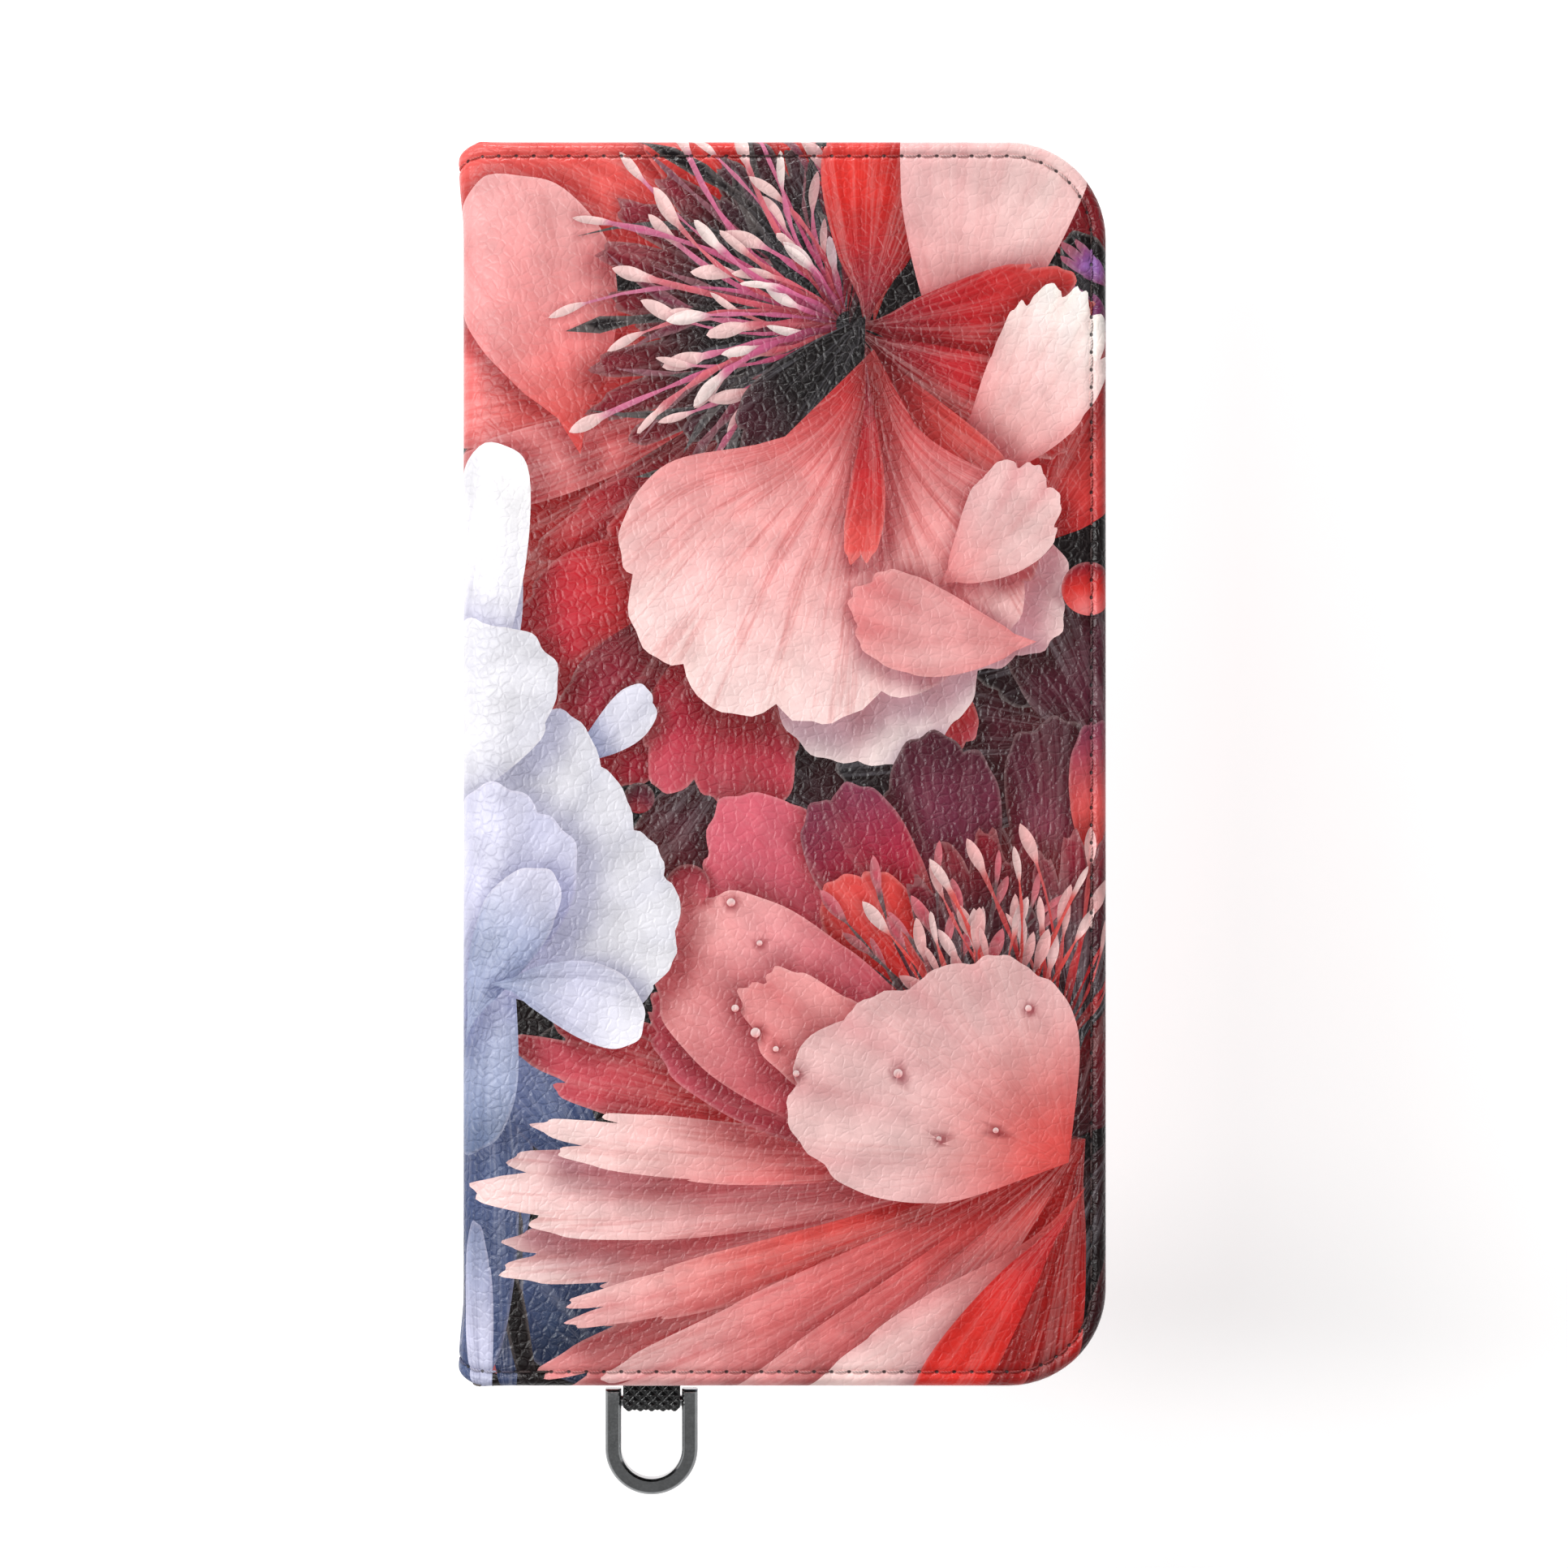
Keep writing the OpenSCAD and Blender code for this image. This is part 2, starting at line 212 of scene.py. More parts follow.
def ring(centre, half_w, half_h, radius, step):
    """Points round a rounded rectangle, anticlockwise and about a step apart."""
    turns = max(6, int(radius * math.pi / 2 / step))
    points = []
    for quarter, (sx, sy) in enumerate(((1, 1), (-1, 1), (-1, -1), (1, -1))):
        corner = np.array([centre[0] + sx * (half_w - radius), centre[1] + sy * (half_h - radius)])
        for i in range(turns + 1):
            a = (quarter + i / turns) * math.pi / 2
            points.append(corner + radius * np.array([math.cos(a), math.sin(a)]))
        # The straight side from here to where the next corner starts.
        along = np.array([(-2 * (half_w - radius), 0), (0, -2 * (half_h - radius))][quarter % 2]) * sy
        count = max(1, int(np.linalg.norm(along) / step))
        points += [points[-1] + along * i / count for i in range(1, count)]
    return np.array(points)


def sheet_ring(inset, step=1.3):
    return ring((SPINE_MID, 0), SHEET_HALF - inset, HALF_H - inset, CORNER_R - inset, step)


def window_ring(inset, step=1.3):
    return ring(CAMERA_FLAT, CAMERA_W / 2 + inset, CAMERA_H / 2 + inset, CAMERA_R + inset, step)


class Drawing:
    """Points and lines on the flat sheet, to be triangulated together."""

    def __init__(self):
        self.points = []
        self.lines = []

    def add(self, points, closed=False):
        first = len(self.points)
        self.points += [tuple(p) for p in points]
        count = len(points)
        self.lines += [(first + i, first + i + 1) for i in range(count - 1)]
        if closed:
            self.lines.append((first + count - 1, first))

    def scatter(self, points):
        self.points += [tuple(p) for p in points]

    def triangles(self):
        verts, _, faces, _, _, _ = geometry.delaunay_2d_cdt(
            [Vector(p) for p in self.points], self.lines, [], 0, 1e-4, False)
        return np.array([tuple(v) for v in verts]), np.array(faces)


def sheet_drawing(edge_insets, fold_steps, spacing, step_lines=()):
    """The lines that every mesh of the sheet follows: its edges, its folds and a grid."""
    drawing = Drawing()
    for inset in edge_insets:
        drawing.add(sheet_ring(inset), closed=True)
        drawing.add(window_ring(inset), closed=True)
    reach = HALF_H + SHEET_MARGIN + 1
    ys = np.arange(-reach, reach + 0.1, 2.2)
    runs = [SPINE_HALF + FOLD_ARC * i / fold_steps for i in range(fold_steps + 1)]
    runs += [SPINE_HALF / 2] + [FLAT_START + s for s in step_lines]
    for x in [SPINE_MID] + [SPINE_MID + s * r for r in runs for s in (-1, 1)]:
        drawing.add([(x, y) for y in ys])
    xs = np.arange(SPINE_MID - SHEET_HALF, SPINE_MID + SHEET_HALF, spacing)
    rows = enumerate(np.arange(-HALF_H, HALF_H, spacing))
    grid = np.array([(x + spacing / 2 * (i % 2), y) for i, y in rows for x in xs])
    distance, _, _ = edge_distance(grid)
    run = np.abs(grid[:, 0] - SPINE_MID)
    off_fold = np.abs(run - (SPINE_HALF + FLAT_START) / 2) > 3.2
    drawing.scatter(grid[off_fold & (distance > edge_insets[-1] + spacing / 2)])
    return drawing


# ---- the print ----


def linear(code):
    """A linear colour from a hex code."""
    values = [int(code[i:i + 2], 16) / 255 for i in (0, 2, 4)]
    return np.array([v / 12.92 if v < 0.04045 else ((v + 0.055) / 1.055) ** 2.4 for v in values])


PALETTE = {name: linear(code) for name, code in {
    "ink": "170d10", "night": "0f0809", "wine": "4a1624", "plum": "7a2c44", "claret": "861a2b",
    "crimson": "b41f39", "red": "c4242a", "scarlet": "da2b24", "coral": "e45651", "rose": "cf5767",
    "salmon": "e97c7b", "pink": "ed9b9a", "blush": "f0b3b1", "shell": "f2c8c5", "cream": "f6e0dc",
    "white": "e9e7ec", "pearl": "e2e0ec", "lilac": "cfcee5", "mist": "9aa3c2", "slate": "5c6c90",
    "navy": "24324c", "orchid": "a672c6", "mauve": "cc5c88",
}.items()}


def by_warmth(colour, on_red, on_white):
    """A value for red colours, another for white ones, and a mix of the two between."""
    warm = np.clip(2.2 * (1 - colour[..., 1:2] / np.maximum(colour[..., 0:1], 0.001)), 0, 1)
    return warm * np.array(on_red) + (1 - warm) * np.array(on_white)


class Petal:
    """A petal: a fan of rays from its root, along a midline that may bend on its way to the tip.

    Its edge follows a profile of lengths, from the clockwise side to the other, broken into lobes.
    Its foot is narrow: the rays spread fully only at the share of the length given by claw."""

    def __init__(self, root, tip, spread, colours, bend=0, waves=3, ruffle=0.04, frill=0.012, veins=0.7,
                 profile=(1,), fullness=0.3, claw=0.3, seed=0.0):
        run = np.array(tip, float) - np.array(root, float)
        self.root = np.array(root, float)
        self.length = math.hypot(*run)
        self.bend, self.spread = math.radians(bend), math.radians(spread)
        self.aim = math.atan2(run[1], run[0]) - self.bend
        self.colours = [PALETTE[c] for c in colours.split()]
        self.waves, self.ruffle, self.frill, self.veins = waves, ruffle, frill, veins
        self.profile, self.fullness, self.claw, self.seed = profile, fullness, claw, seed
        self.soft, self.strength = 0.5 + 0.062 * min(self.length, 42), 0.9

    def opening(self, along):
        """The share of the full spread at a share of the length."""
        return 0.4 + 0.6 * smooth(along, 0, max(self.claw, 0.02))

    def outline(self):
        """Points round the petal's edge, from one side of its root to the other."""
        q = np.sin(np.linspace(-1, 1, 61 + 10 * self.waves) * math.pi / 2)
        knots = np.linspace(-1, 1, len(self.profile)) if len(self.profile) > 1 else [0]
        long = np.interp(q, knots, self.profile)
        if len(self.profile) > 1:
            near = [np.interp(np.clip(q + d, -1, 1), knots, self.profile) for d in (-0.12, 0.12)]
            long = (long + near[0] + near[1]) / 3
        lobes = np.abs(np.sin(self.waves * q * 1.9 + self.seed)) ** 0.55
        frill = np.sin(self.waves * q * 11 + 2 * self.seed) * np.sin(5 * q + self.seed)
        edge = np.cos(q * math.pi / 2) ** self.fullness
        r = self.length * long * edge * (1 - self.ruffle * (1 - lobes) * 2 + self.frill * frill)
        along = r / self.length
        angle = self.aim + q * self.spread * self.opening(along) + self.bend * along
        return self.root + np.column_stack([r * np.cos(angle), r * np.sin(angle)])

    def coordinates(self, points):
        """Across, from -1 to 1, and along, from 0 to 1."""
        offset = points - self.root
        along = np.linalg.norm(offset, axis=1) / self.length
        angle = np.arctan2(offset[:, 1], offset[:, 0]) - self.aim - self.bend * along
        angle = (angle + math.pi) % TAU - math.pi
        return angle / (self.spread * self.opening(along)), along

    def tone(self, points):
        """Colours at points of the sheet, across and along in millimetres, and the share along."""
        across, along = self.coordinates(points)
        root, middle, tip = self.colours
        first = smooth(along, 0.05, 0.6)[:, None]
        last = smooth(along, 0.5, 1.0)[:, None]
        colour = (root * (1 - first) + middle * first) * (1 - last) + tip * last
        hollow = 0.08 * math.sin(self.seed) + 0.10 * np.sin(across * 2.2 + self.seed)
        fold = np.abs(np.sin(self.waves * across * 1.9 + self.seed)) ** 0.8 - 0.6
        fold = 0.24 * fold * smooth(along, 0.25, 0.95)
        side = 0.20 * smooth(np.abs(across), 0.5, 1.05)
        light = (1 + hollow * (0.4 + along) + fold) * (1 - side)
        # Red petals deepen to crimson in their folds, and white ones to a cool grey.
        deep = by_warmth(colour, (0.5, 1.5, 1.42), (0.62, 0.56, 0.40))
        colour = colour * np.clip(1 - (1 - light)[:, None] * deep, 0.05, 1.25)
        return colour, across * self.spread * self.length * 0.6, along * self.length, along


class Stamen(Petal):
    """A stamen: a thin curved stalk, and a long pale head unless the head is 0."""

    def __init__(self, root, tip, colours, stalk=0.26, head=0.7, bend=0, seed=0.0):
        super().__init__(root, tip, 10, colours, bend=bend, veins=0.35, seed=seed)
        self.stalk, self.head = stalk, head
        self.head_length = min(1.7 + 1.3 * head, 0.5 * self.length) if head else 0.0
        self.soft, self.strength = 0.45, 0.5

    def half_width(self, r):
        stalk = self.stalk * (0.75 + 0.35 * np.sin(1.1 * r + self.seed)) * np.sqrt(np.clip(r / 1.5, 0.1, 1))
        if not self.head:
            return stalk * np.sqrt(np.clip((self.length - r) / 4, 0, 1)) + 0.02
        u = np.clip((r - self.length + 2 * self.head_length) / (2 * self.head_length), 0, 1)
        bulb = self.head * np.sin(math.pi * u ** 1.25) ** 0.75
        return np.maximum(stalk * smooth(self.length - r, 0, 0.5), bulb) + 0.01

    def outline(self):
        split = max(self.length - 2 * self.head_length, 0.3 * self.length)
        r = np.concatenate([np.linspace(0.02, split, 9)[:-1], np.linspace(split, self.length, 14)])
        half = self.half_width(r)
        r, half = np.concatenate([r, r[-2::-1]]), np.concatenate([half, -half[-2::-1]])
        angle = self.aim + self.bend * r / self.length + np.arctan2(half, r)
        return self.root + np.column_stack([r * np.cos(angle), r * np.sin(angle)])

    def tone(self, points):
        offset = points - self.root
        r = np.linalg.norm(offset, axis=1)
        angle = np.arctan2(offset[:, 1], offset[:, 0]) - self.aim - self.bend * r / self.length
        side = r * np.sin(angle)
        root, middle, tip = self.colours
        first = smooth(r / self.length, 0.0, 0.5)[:, None]
        neck = self.length - 2 * self.head_length - 0.1
        last = smooth(r, neck, self.length - 1.3 * self.head_length)[:, None]
        colour = root * (1 - first) + middle * first
        if self.head:
            colour = colour * (1 - last) + tip * last
        colour = colour * (1 - 0.35 * smooth(side, -0.1, 0.75 * max(self.head, self.stalk)))[:, None]
        return colour, side, r, r / self.length


def berry(x, y, radius, colours):
    """A small round bud."""
    return Petal((x, y - radius), (x, y + radius), 85, colours, waves=0, ruffle=0, frill=0, veins=0.15,
                 fullness=0.85, claw=0)


def inside_of(outline, points):
    """Which points lie inside an outline, by counting the sides that a level line crosses."""
    result = np.zeros(len(points), bool)
    x, y = points[:, 0], points[:, 1]
    for (ax, ay), (bx, by) in zip(outline, np.roll(outline, -1, axis=0)):
        if ay == by:
            continue
        crosses = (ay > y) != (by > y)
        result ^= crosses & (x < (bx - ax) * (y - ay) / (by - ay) + ax)
    return result


def distance_to(outline, points):
    """How far each point lies from an outline's nearest side."""
    best = np.full(len(points), 1e9)
    for a, b in zip(outline, np.roll(outline, -1, axis=0)):
        d = b - a
        t = np.clip(((points - a) @ d) / max(d @ d, 1e-9), 0, 1)
        best = np.minimum(best, np.linalg.norm(points - a - t[:, None] * d, axis=1))
    return best


def petals_of(rows, **shared):
    """Petals from rows of root, tip, spread, colours, bend, waves, ruffle, veins and seed.

    A row may end with settings of its own, and the other named settings hold for all rows."""
    petals = []
    for root, tip, spread, colours, bend, waves, ruffle, veins, seed, *own in rows:
        settings = dict(shared, bend=bend, waves=waves, ruffle=ruffle, veins=veins, seed=seed)
        settings.update(*own)
        petals.append(Petal(root, tip, spread, colours, **settings))
    return petals


def stamens(root, aims, lengths, colours, seed, stalk=0.26, head=0.7, bend=18):
    """A burst of stamens from one root, each with its own length, bend and head."""
    result = []
    for i, aim in enumerate(aims):
        wobble = math.sin(seed + 2.4 * i)
        reach = lengths[0] + (lengths[1] - lengths[0]) * (0.5 + 0.5 * math.sin(seed * 3 + 4.1 * i))
        a, b = math.radians(aim), math.radians(aim + 5 * wobble)
        start = (root[0] + 1.6 * math.cos(a), root[1] + 1.6 * math.sin(a))
        tip = (root[0] + reach * math.cos(b), root[1] + reach * math.sin(b))
        result.append(Stamen(start, tip, colours, stalk * (1 + 0.3 * math.sin(3.3 * i)),
                             head * (1 + 0.35 * wobble), bend * math.sin(seed + 1.7 * i), i * 1.3 + seed))
    return result


def first_bloom():
    """The open bloom at the top: red petals all round, dark and full of stamens in the middle."""
    c = (8, 54)
    petals = petals_of([
        (c, (-48, 20), 22, "claret red coral", -8, 3, 0.04, 1.0, 11),
        (c, (-20, 4), 18, "wine claret crimson", -6, 3, 0.04, 0.8, 12),
        (c, (-46, 82), 20, "scarlet coral coral", 8, 3, 0.04, 0.9, 13),
        (c, (-14, 86), 26, "claret scarlet coral", 6, 3, 0.04, 0.9, 14),
        (c, (-50, 46), 15, "red coral salmon", -8, 3, 0.04, 1.3, 15),
        (c, (-48, 33), 8, "red salmon pink", -12, 3, 0.04, 1.3, 16),
        (c, (-46, 58), 7, "red coral pink", -6, 3, 0.04, 1.2, 17),
        ((-25, 38), (-37, 72), 31, "coral pink blush", 10, 1, 0.02, 0.5, 18),
        (c, (-31, 23), 10, "claret claret red", -8, 3, 0.04, 1.2, 19),
        (c, (-22, 24), 11, "wine claret red", -4, 3, 0.04, 1.2, 20),
        (c, (13, 86), 18, "wine claret claret", 4, 3, 0.04, 0.7, 21),
    ])
    petals += petals_of([
        (c, (-22, 66), 34, "night ink claret", 0, 5, 0.13, 0.8, 22),
        (c, (-24, 44), 24, "night ink claret", 0, 4, 0.14, 0.8, 23),
        (c, (-8, 33), 42, "night ink wine", 0, 4, 0.12, 0.8, 24),
        (c, (-6, 76), 26, "night ink wine", 0, 4, 0.10, 0.8, 25),
    ], frill=0.03, claw=0.1)
    for aims, lengths, colours, seed, stalk, head, bend in (
            (range(96, 250, 9), (14, 34), "wine plum rose", 4, 0.6, 0.0, 34),
            (range(94, 252, 7), (14, 35), "night ink wine", 5, 0.8, 0.0, 40),
            (range(92, 238, 6), (19, 37), "claret mauve shell", 1.0, 0.36, 0.78, 28),
            (range(100, 246, 8), (13, 30), "claret rose shell", 2.2, 0.4, 0.72, 30),
            (range(104, 262, 10), (9, 23), "plum mauve cream", 3.4, 0.4, 0.66, 26)):
        petals += stamens(c, aims, lengths, colours, seed, stalk, head, bend)
    # The top right: a crimson corner, a violet shadow, and petals with pale turned edges.
    petals += petals_of([
        ((42, 58), (37, 82), 50, "claret crimson crimson", 0, 3, 0.04, 0.4, 30),
        ((43, 50), (33, 64), 60, "ink night ink", 0, 4, 0.12, 0.3, 31),
        ((42, 52), (33, 58), 26, "plum orchid orchid", 0, 3, 0.16, 0.5, 32),
        ((41, 58), (34, 64), 20, "plum orchid mauve", 0, 3, 0.16, 0.5, 33),
        ((11, 54), (19, 86), 19, "red coral salmon", -5, 3, 0.04, 1.0, 34),
        ((10, 53), (15, 86), 26, "claret scarlet coral", -4, 3, 0.04, 1.0, 134),
        ((22, 43), (30, 92), 25, "pink shell shell", -6, 5, 0.03, 0.3, 35, dict(claw=0.25)),
        (c, (38, 56), 24, "claret red coral", 9, 4, 0.04, 1.0, 36),
        ((29, 24), (45, 52), 34, "red coral salmon", -8, 3, 0.04, 1.0, 37),
        (c, (36, 40), 20, "claret red coral", 10, 4, 0.04, 1.1, 38),
        ((19, 33), (37, 58), 25, "salmon blush cream", 16, 5, 0.04, 0.25, 39, dict(claw=0.2)),
        (c, (30, 27), 18, "claret coral salmon", 12, 3, 0.04, 1.1, 40),
    ])
    # Crimson petals deep under the hanging one.
    petals += petals_of([
        ((2, 30), (-33, 6), 32, "claret red crimson", 0, 3, 0.04, 0.8, 41),
        ((-10, 22), (-25, -2), 30, "claret claret crimson", 0, 2, 0.04, 0.7, 141),
        ((-2, 6), (-14, -22), 34, "wine wine claret", 0, 2, 0.04, 0.7, 142),
        ((-4, 20), (-9, -8), 42, "claret crimson rose", 6, 4, 0.05, 0.5, 42,
         dict(profile=(0.8, 1, 0.85, 1, 0.75))),
        ((18, 14), (21, 1), 30, "coral coral rose", 0, 2, 0.04, 0.3, 43),
    ])
    # The large hanging petal, its turned pale edge below and its folds at the right.
    petals += petals_of([
        ((11, 24), (9, -0.5), 58, "blush shell cream", 0, 3, 0.02, 0.2, 44,
         dict(profile=(0.7, 0.9, 1, 1, 0.95, 0.9), claw=0.1, fullness=0.15)),
        ((15, 34), (32, 14), 40, "pink blush shell", 6, 3, 0.03, 0.3, 45),
        ((10, 55), (-3, 35), 32, "night night wine", 0, 3, 0.04, 0.6, 147, dict(claw=0.1)),
        ((11, 51), (7, 3), 58, "red pink shell", 0, 6, 0.03, 1.15, 46,
         dict(frill=0.006, claw=0.64, fullness=0.14,
              profile=(0.95, 1.0, 1.04, 1.02, 0.95, 0.88, 0.86, 0.80, 0.62))),
        ((10, 50), (9, 24), 10, "claret red coral", -8, 2, 0.04, 1.3, 47, dict(claw=0.8)),
        ((19, 22), (32, 36), 34, "pink shell shell", 14, 4, 0.04, 0.25, 48, dict(claw=0.2)),
        ((31, 15), (8, 20), 27, "pink blush pink", -16, 3, 0.03, 0.35, 49, dict(claw=0.2)),
    ])
    return petals


def second_bloom():
    """The lower bloom: the petals and stamens behind its pale cup."""
    petals = petals_of([
        ((31, -24), (33, 6), 22, "red plum wine", 10, 2, 0.03, 0.7, 62),
        ((42, -24), (40, 6), 20, "claret coral plum", 0, 2, 0.03, 0.7, 63),
        ((24, -28), (18, 4), 24, "claret plum wine", -6, 2, 0.03, 0.7, 64),
        ((22, -30), (-9, -6), 24, "coral rose rose", -8, 2, 0.03, 0.45, 65),
        ((22, -30), (5, -3), 22, "scarlet crimson plum", -6, 2, 0.03, 0.7, 66),
        ((25, -34), (6, -14), 24, "scarlet scarlet coral", -8, 2, 0.03, 0.8, 67),
        ((26, -34), (24, -8), 40, "night wine claret", 0, 5, 0.12, 0.9, 68, dict(frill=0.03)),
        ((36, -36), (38, -8), 30, "night wine claret", 0, 5, 0.12, 0.9, 69, dict(frill=0.03)),
    ])
    for root, aims, lengths, colours, seed, head in (
            ((21, -34), range(52, 146, 5), (15, 25), "claret wine rose", 3.0, 0.6),
            ((33, -36), range(48, 128, 5), (17, 29), "claret red blush", 5.0, 0.62),
            ((27, -37), range(60, 132, 6), (17, 27), "wine scarlet shell", 6.3, 0.6),
            ((24, -36), range(58, 136, 9), (13, 19), "wine claret blush", 7.1, 0.66)):
        petals += stamens(root, aims, lengths, colours, seed, head=head)
    return petals


def sweeping_petals():
    """Long petals that sweep from the lower right to the left and down, and the pale cup over them."""
    c = (37, -46)
    dark = petals_of([
        ((44, -40), (36, -84), 30, "wine ink wine", 0, 3, 0.04, 0.9, 70),
        ((44, -50), (40, -84), 16, "claret wine claret", 0, 2, 0.04, 0.9, 71),
        (c, (31, -86), 9, "red scarlet claret", 0, 2, 0.04, 1.0, 72),
        (c, (22, -86), 9, "scarlet scarlet coral", 0, 2, 0.04, 0.8, 73),
        (c, (13, -84), 9, "scarlet scarlet salmon", -6, 2, 0.04, 0.8, 74),
    ])
    split = petals_of([
        (c, (-34, -34), 8, "claret coral rose", -9, 3, 0.05, 1.0, 80),
        (c, (-20, -31), 5, "claret coral rose", -9, 3, 0.05, 1.0, 180),
        (c, (-30, -76), 7, "claret coral pink", -4, 3, 0.05, 1.0, 81),
        (c, (-36, -61), 7, "scarlet salmon shell", -9, 3, 0.05, 1.0, 82),
        (c, (-39, -52), 8, "red pink shell", -9, 3, 0.05, 1.0, 83),
        (c, (-31, -45), 6, "red salmon shell", -9, 3, 0.05, 1.0, 84),
        (c, (-28, -68), 5, "scarlet coral blush", -8, 3, 0.05, 1.0, 85),
        (c, (-25, -80), 7, "scarlet salmon shell", -6, 3, 0.05, 1.0, 86),
        (c, (-12, -86), 7, "scarlet salmon shell", -5, 3, 0.05, 1.0, 87),
        (c, (0, -88), 8, "scarlet pink shell", -3, 3, 0.05, 1.0, 88),
    ], frill=0.010, claw=0.04, fullness=0.30)
    cup = petals_of([
        ((37, -52), (3, -83), 15, "coral blush shell", -12, 3, 0.04, 0.35, 89, dict(claw=0.5)),
        ((36, -54), (15, -86), 11, "red scarlet scarlet", 6, 2, 0.04, 0.8, 90),
        ((33, -50), (-17, -30), 13, "coral rose rose", -10, 2, 0.02, 0.5, 191, dict(claw=0.1)),
        ((34, -49), (-15, -20), 21, "coral rose pink", -8, 2, 0.02, 0.5, 91, dict(claw=0.1)),
        ((33, -49), (-5, -27), 15, "coral pink pink", -8, 3, 0.03, 0.4, 92, dict(claw=0.1)),
        ((35, -49), (6, -26), 58, "coral shell shell", 0, 6, 0.025, 0.35, 93,
         dict(frill=0.006, claw=0.05, fullness=0.14,
              profile=(0.62, 0.74, 0.80, 0.78, 0.86, 1, 1.02, 0.9, 0.6))),
    ])
    return dark + split + cup


def shadows():
    """What lies deepest: slate blue leaves at the lower left, and wine red ones at the right."""
    return petals_of([
        ((-24, -66), (-20, -30), 50, "night ink night", 0, 3, 0.04, 0.5, 1),
        ((-14, -80), (-32, -58), 34, "navy navy slate", 0, 3, 0.04, 0.6, 2),
        ((-40, -84), (-37, -36), 14, "navy slate slate", 4, 3, 0.04, 1.1, 3),
        ((-33, -84), (-34, -52), 8, "slate navy night", -6, 3, 0.04, 1.1, 4),
        ((-28, -88), (-34, -60), 5, "night ink night", -6, 3, 0.04, 0.4, 204),
        ((-20, -52), (-34, -34), 24, "navy slate mist", -10, 3, 0.04, 0.8, 5),
        ((34, -20), (-4, 6), 44, "claret wine ink", 0, 3, 0.04, 0.6, 6),
        ((50, 2), (6, 2), 26, "claret wine ink", 0, 3, 0.04, 0.6, 60),
        ((46, 16), (22, 14), 34, "plum wine ink", 0, 3, 0.04, 0.7, 7),
        ((44, -6), (30, 24), 24, "plum wine wine", 0, 3, 0.04, 0.8, 8),
        ((34, -48), (46, -20), 40, "wine claret wine", 0, 3, 0.04, 0.8, 9),
        ((-38, -10), (-45, -84), 12, "mist slate slate", -5, 2, 0.04, 1.0, 100),
        ((-42, -44), (-41, -74), 5, "night navy slate", 4, 1, 0.04, 0.8, 110),
        ((-36, -88), (-38, -56), 7, "mist lilac mist", -4, 1, 0.04, 1.0, 111),
    ])


def pale_petals():
    """White and lilac petals down the spine side."""
    return petals_of([
        ((-33, -20), (-41, -48), 24, "lilac mist slate", 10, 1, 0.02, 0.8, 101),
        ((-50, -14), (-41, 34), 26, "lilac pearl white", 0, 1, 0.02, 0.4, 102),
        ((-42, -12), (-35, 40), 19, "lilac pearl white", -10, 1, 0.01, 0.5, 103,
         dict(claw=0.1, fullness=0.7)),
        ((-27, 0), (-16, 9), 22, "mist pearl pearl", 12, 1, 0.03, 0.4, 104),
        ((-36, -28), (-12, -8), 56, "lilac white white", 0, 6, 0.025, 0.25, 105,
         dict(frill=0.005, claw=0.05, fullness=0.12,
              profile=(0.60, 0.70, 0.78, 0.84, 0.86, 0.90, 1.12, 1.34, 1.42))),
        ((-52, -12), (-31, 16), 30, "pearl white white", -12, 2, 0.02, 0.35, 106),
        ((-50, -34), (-30, -4), 30, "mist lilac lilac", 8, 2, 0.03, 0.7, 107),
        ((-40, -34), (-29, -13), 20, "mist mist lilac", -8, 1, 0.02, 0.9, 108),
        ((-36, -27), (-17, -32), 26, "mist lilac pearl", -14, 1, 0.02, 0.8, 109),
    ])


def front_flowers():
    """The front cover's flowers, from the lowest petal to the topmost."""
    buds = [berry(-17.8, -4.2, 1.9, "rose plum wine"), berry(-11.8, -15, 2.7, "pink rose claret"),
            berry(37.4, 21.5, 3.3, "salmon scarlet claret")]
    dew = [berry(x, y, r, "pink shell cream") for x, y, r in (
        (-6.5, -17, 0.5), (-3, -22, 0.35), (-6, -30, 0.45), (-3.5, -33, 0.6), (-1, -35, 0.35),
        (1.5, -38, 0.4), (14, -38, 0.55), (30, -30, 0.4), (19, -46, 0.3), (26, -45, 0.35))]
    lower = shadows() + first_bloom() + buds[2:] + second_bloom() + sweeping_petals()
    return lower + dew + buds[:2] + pale_petals()


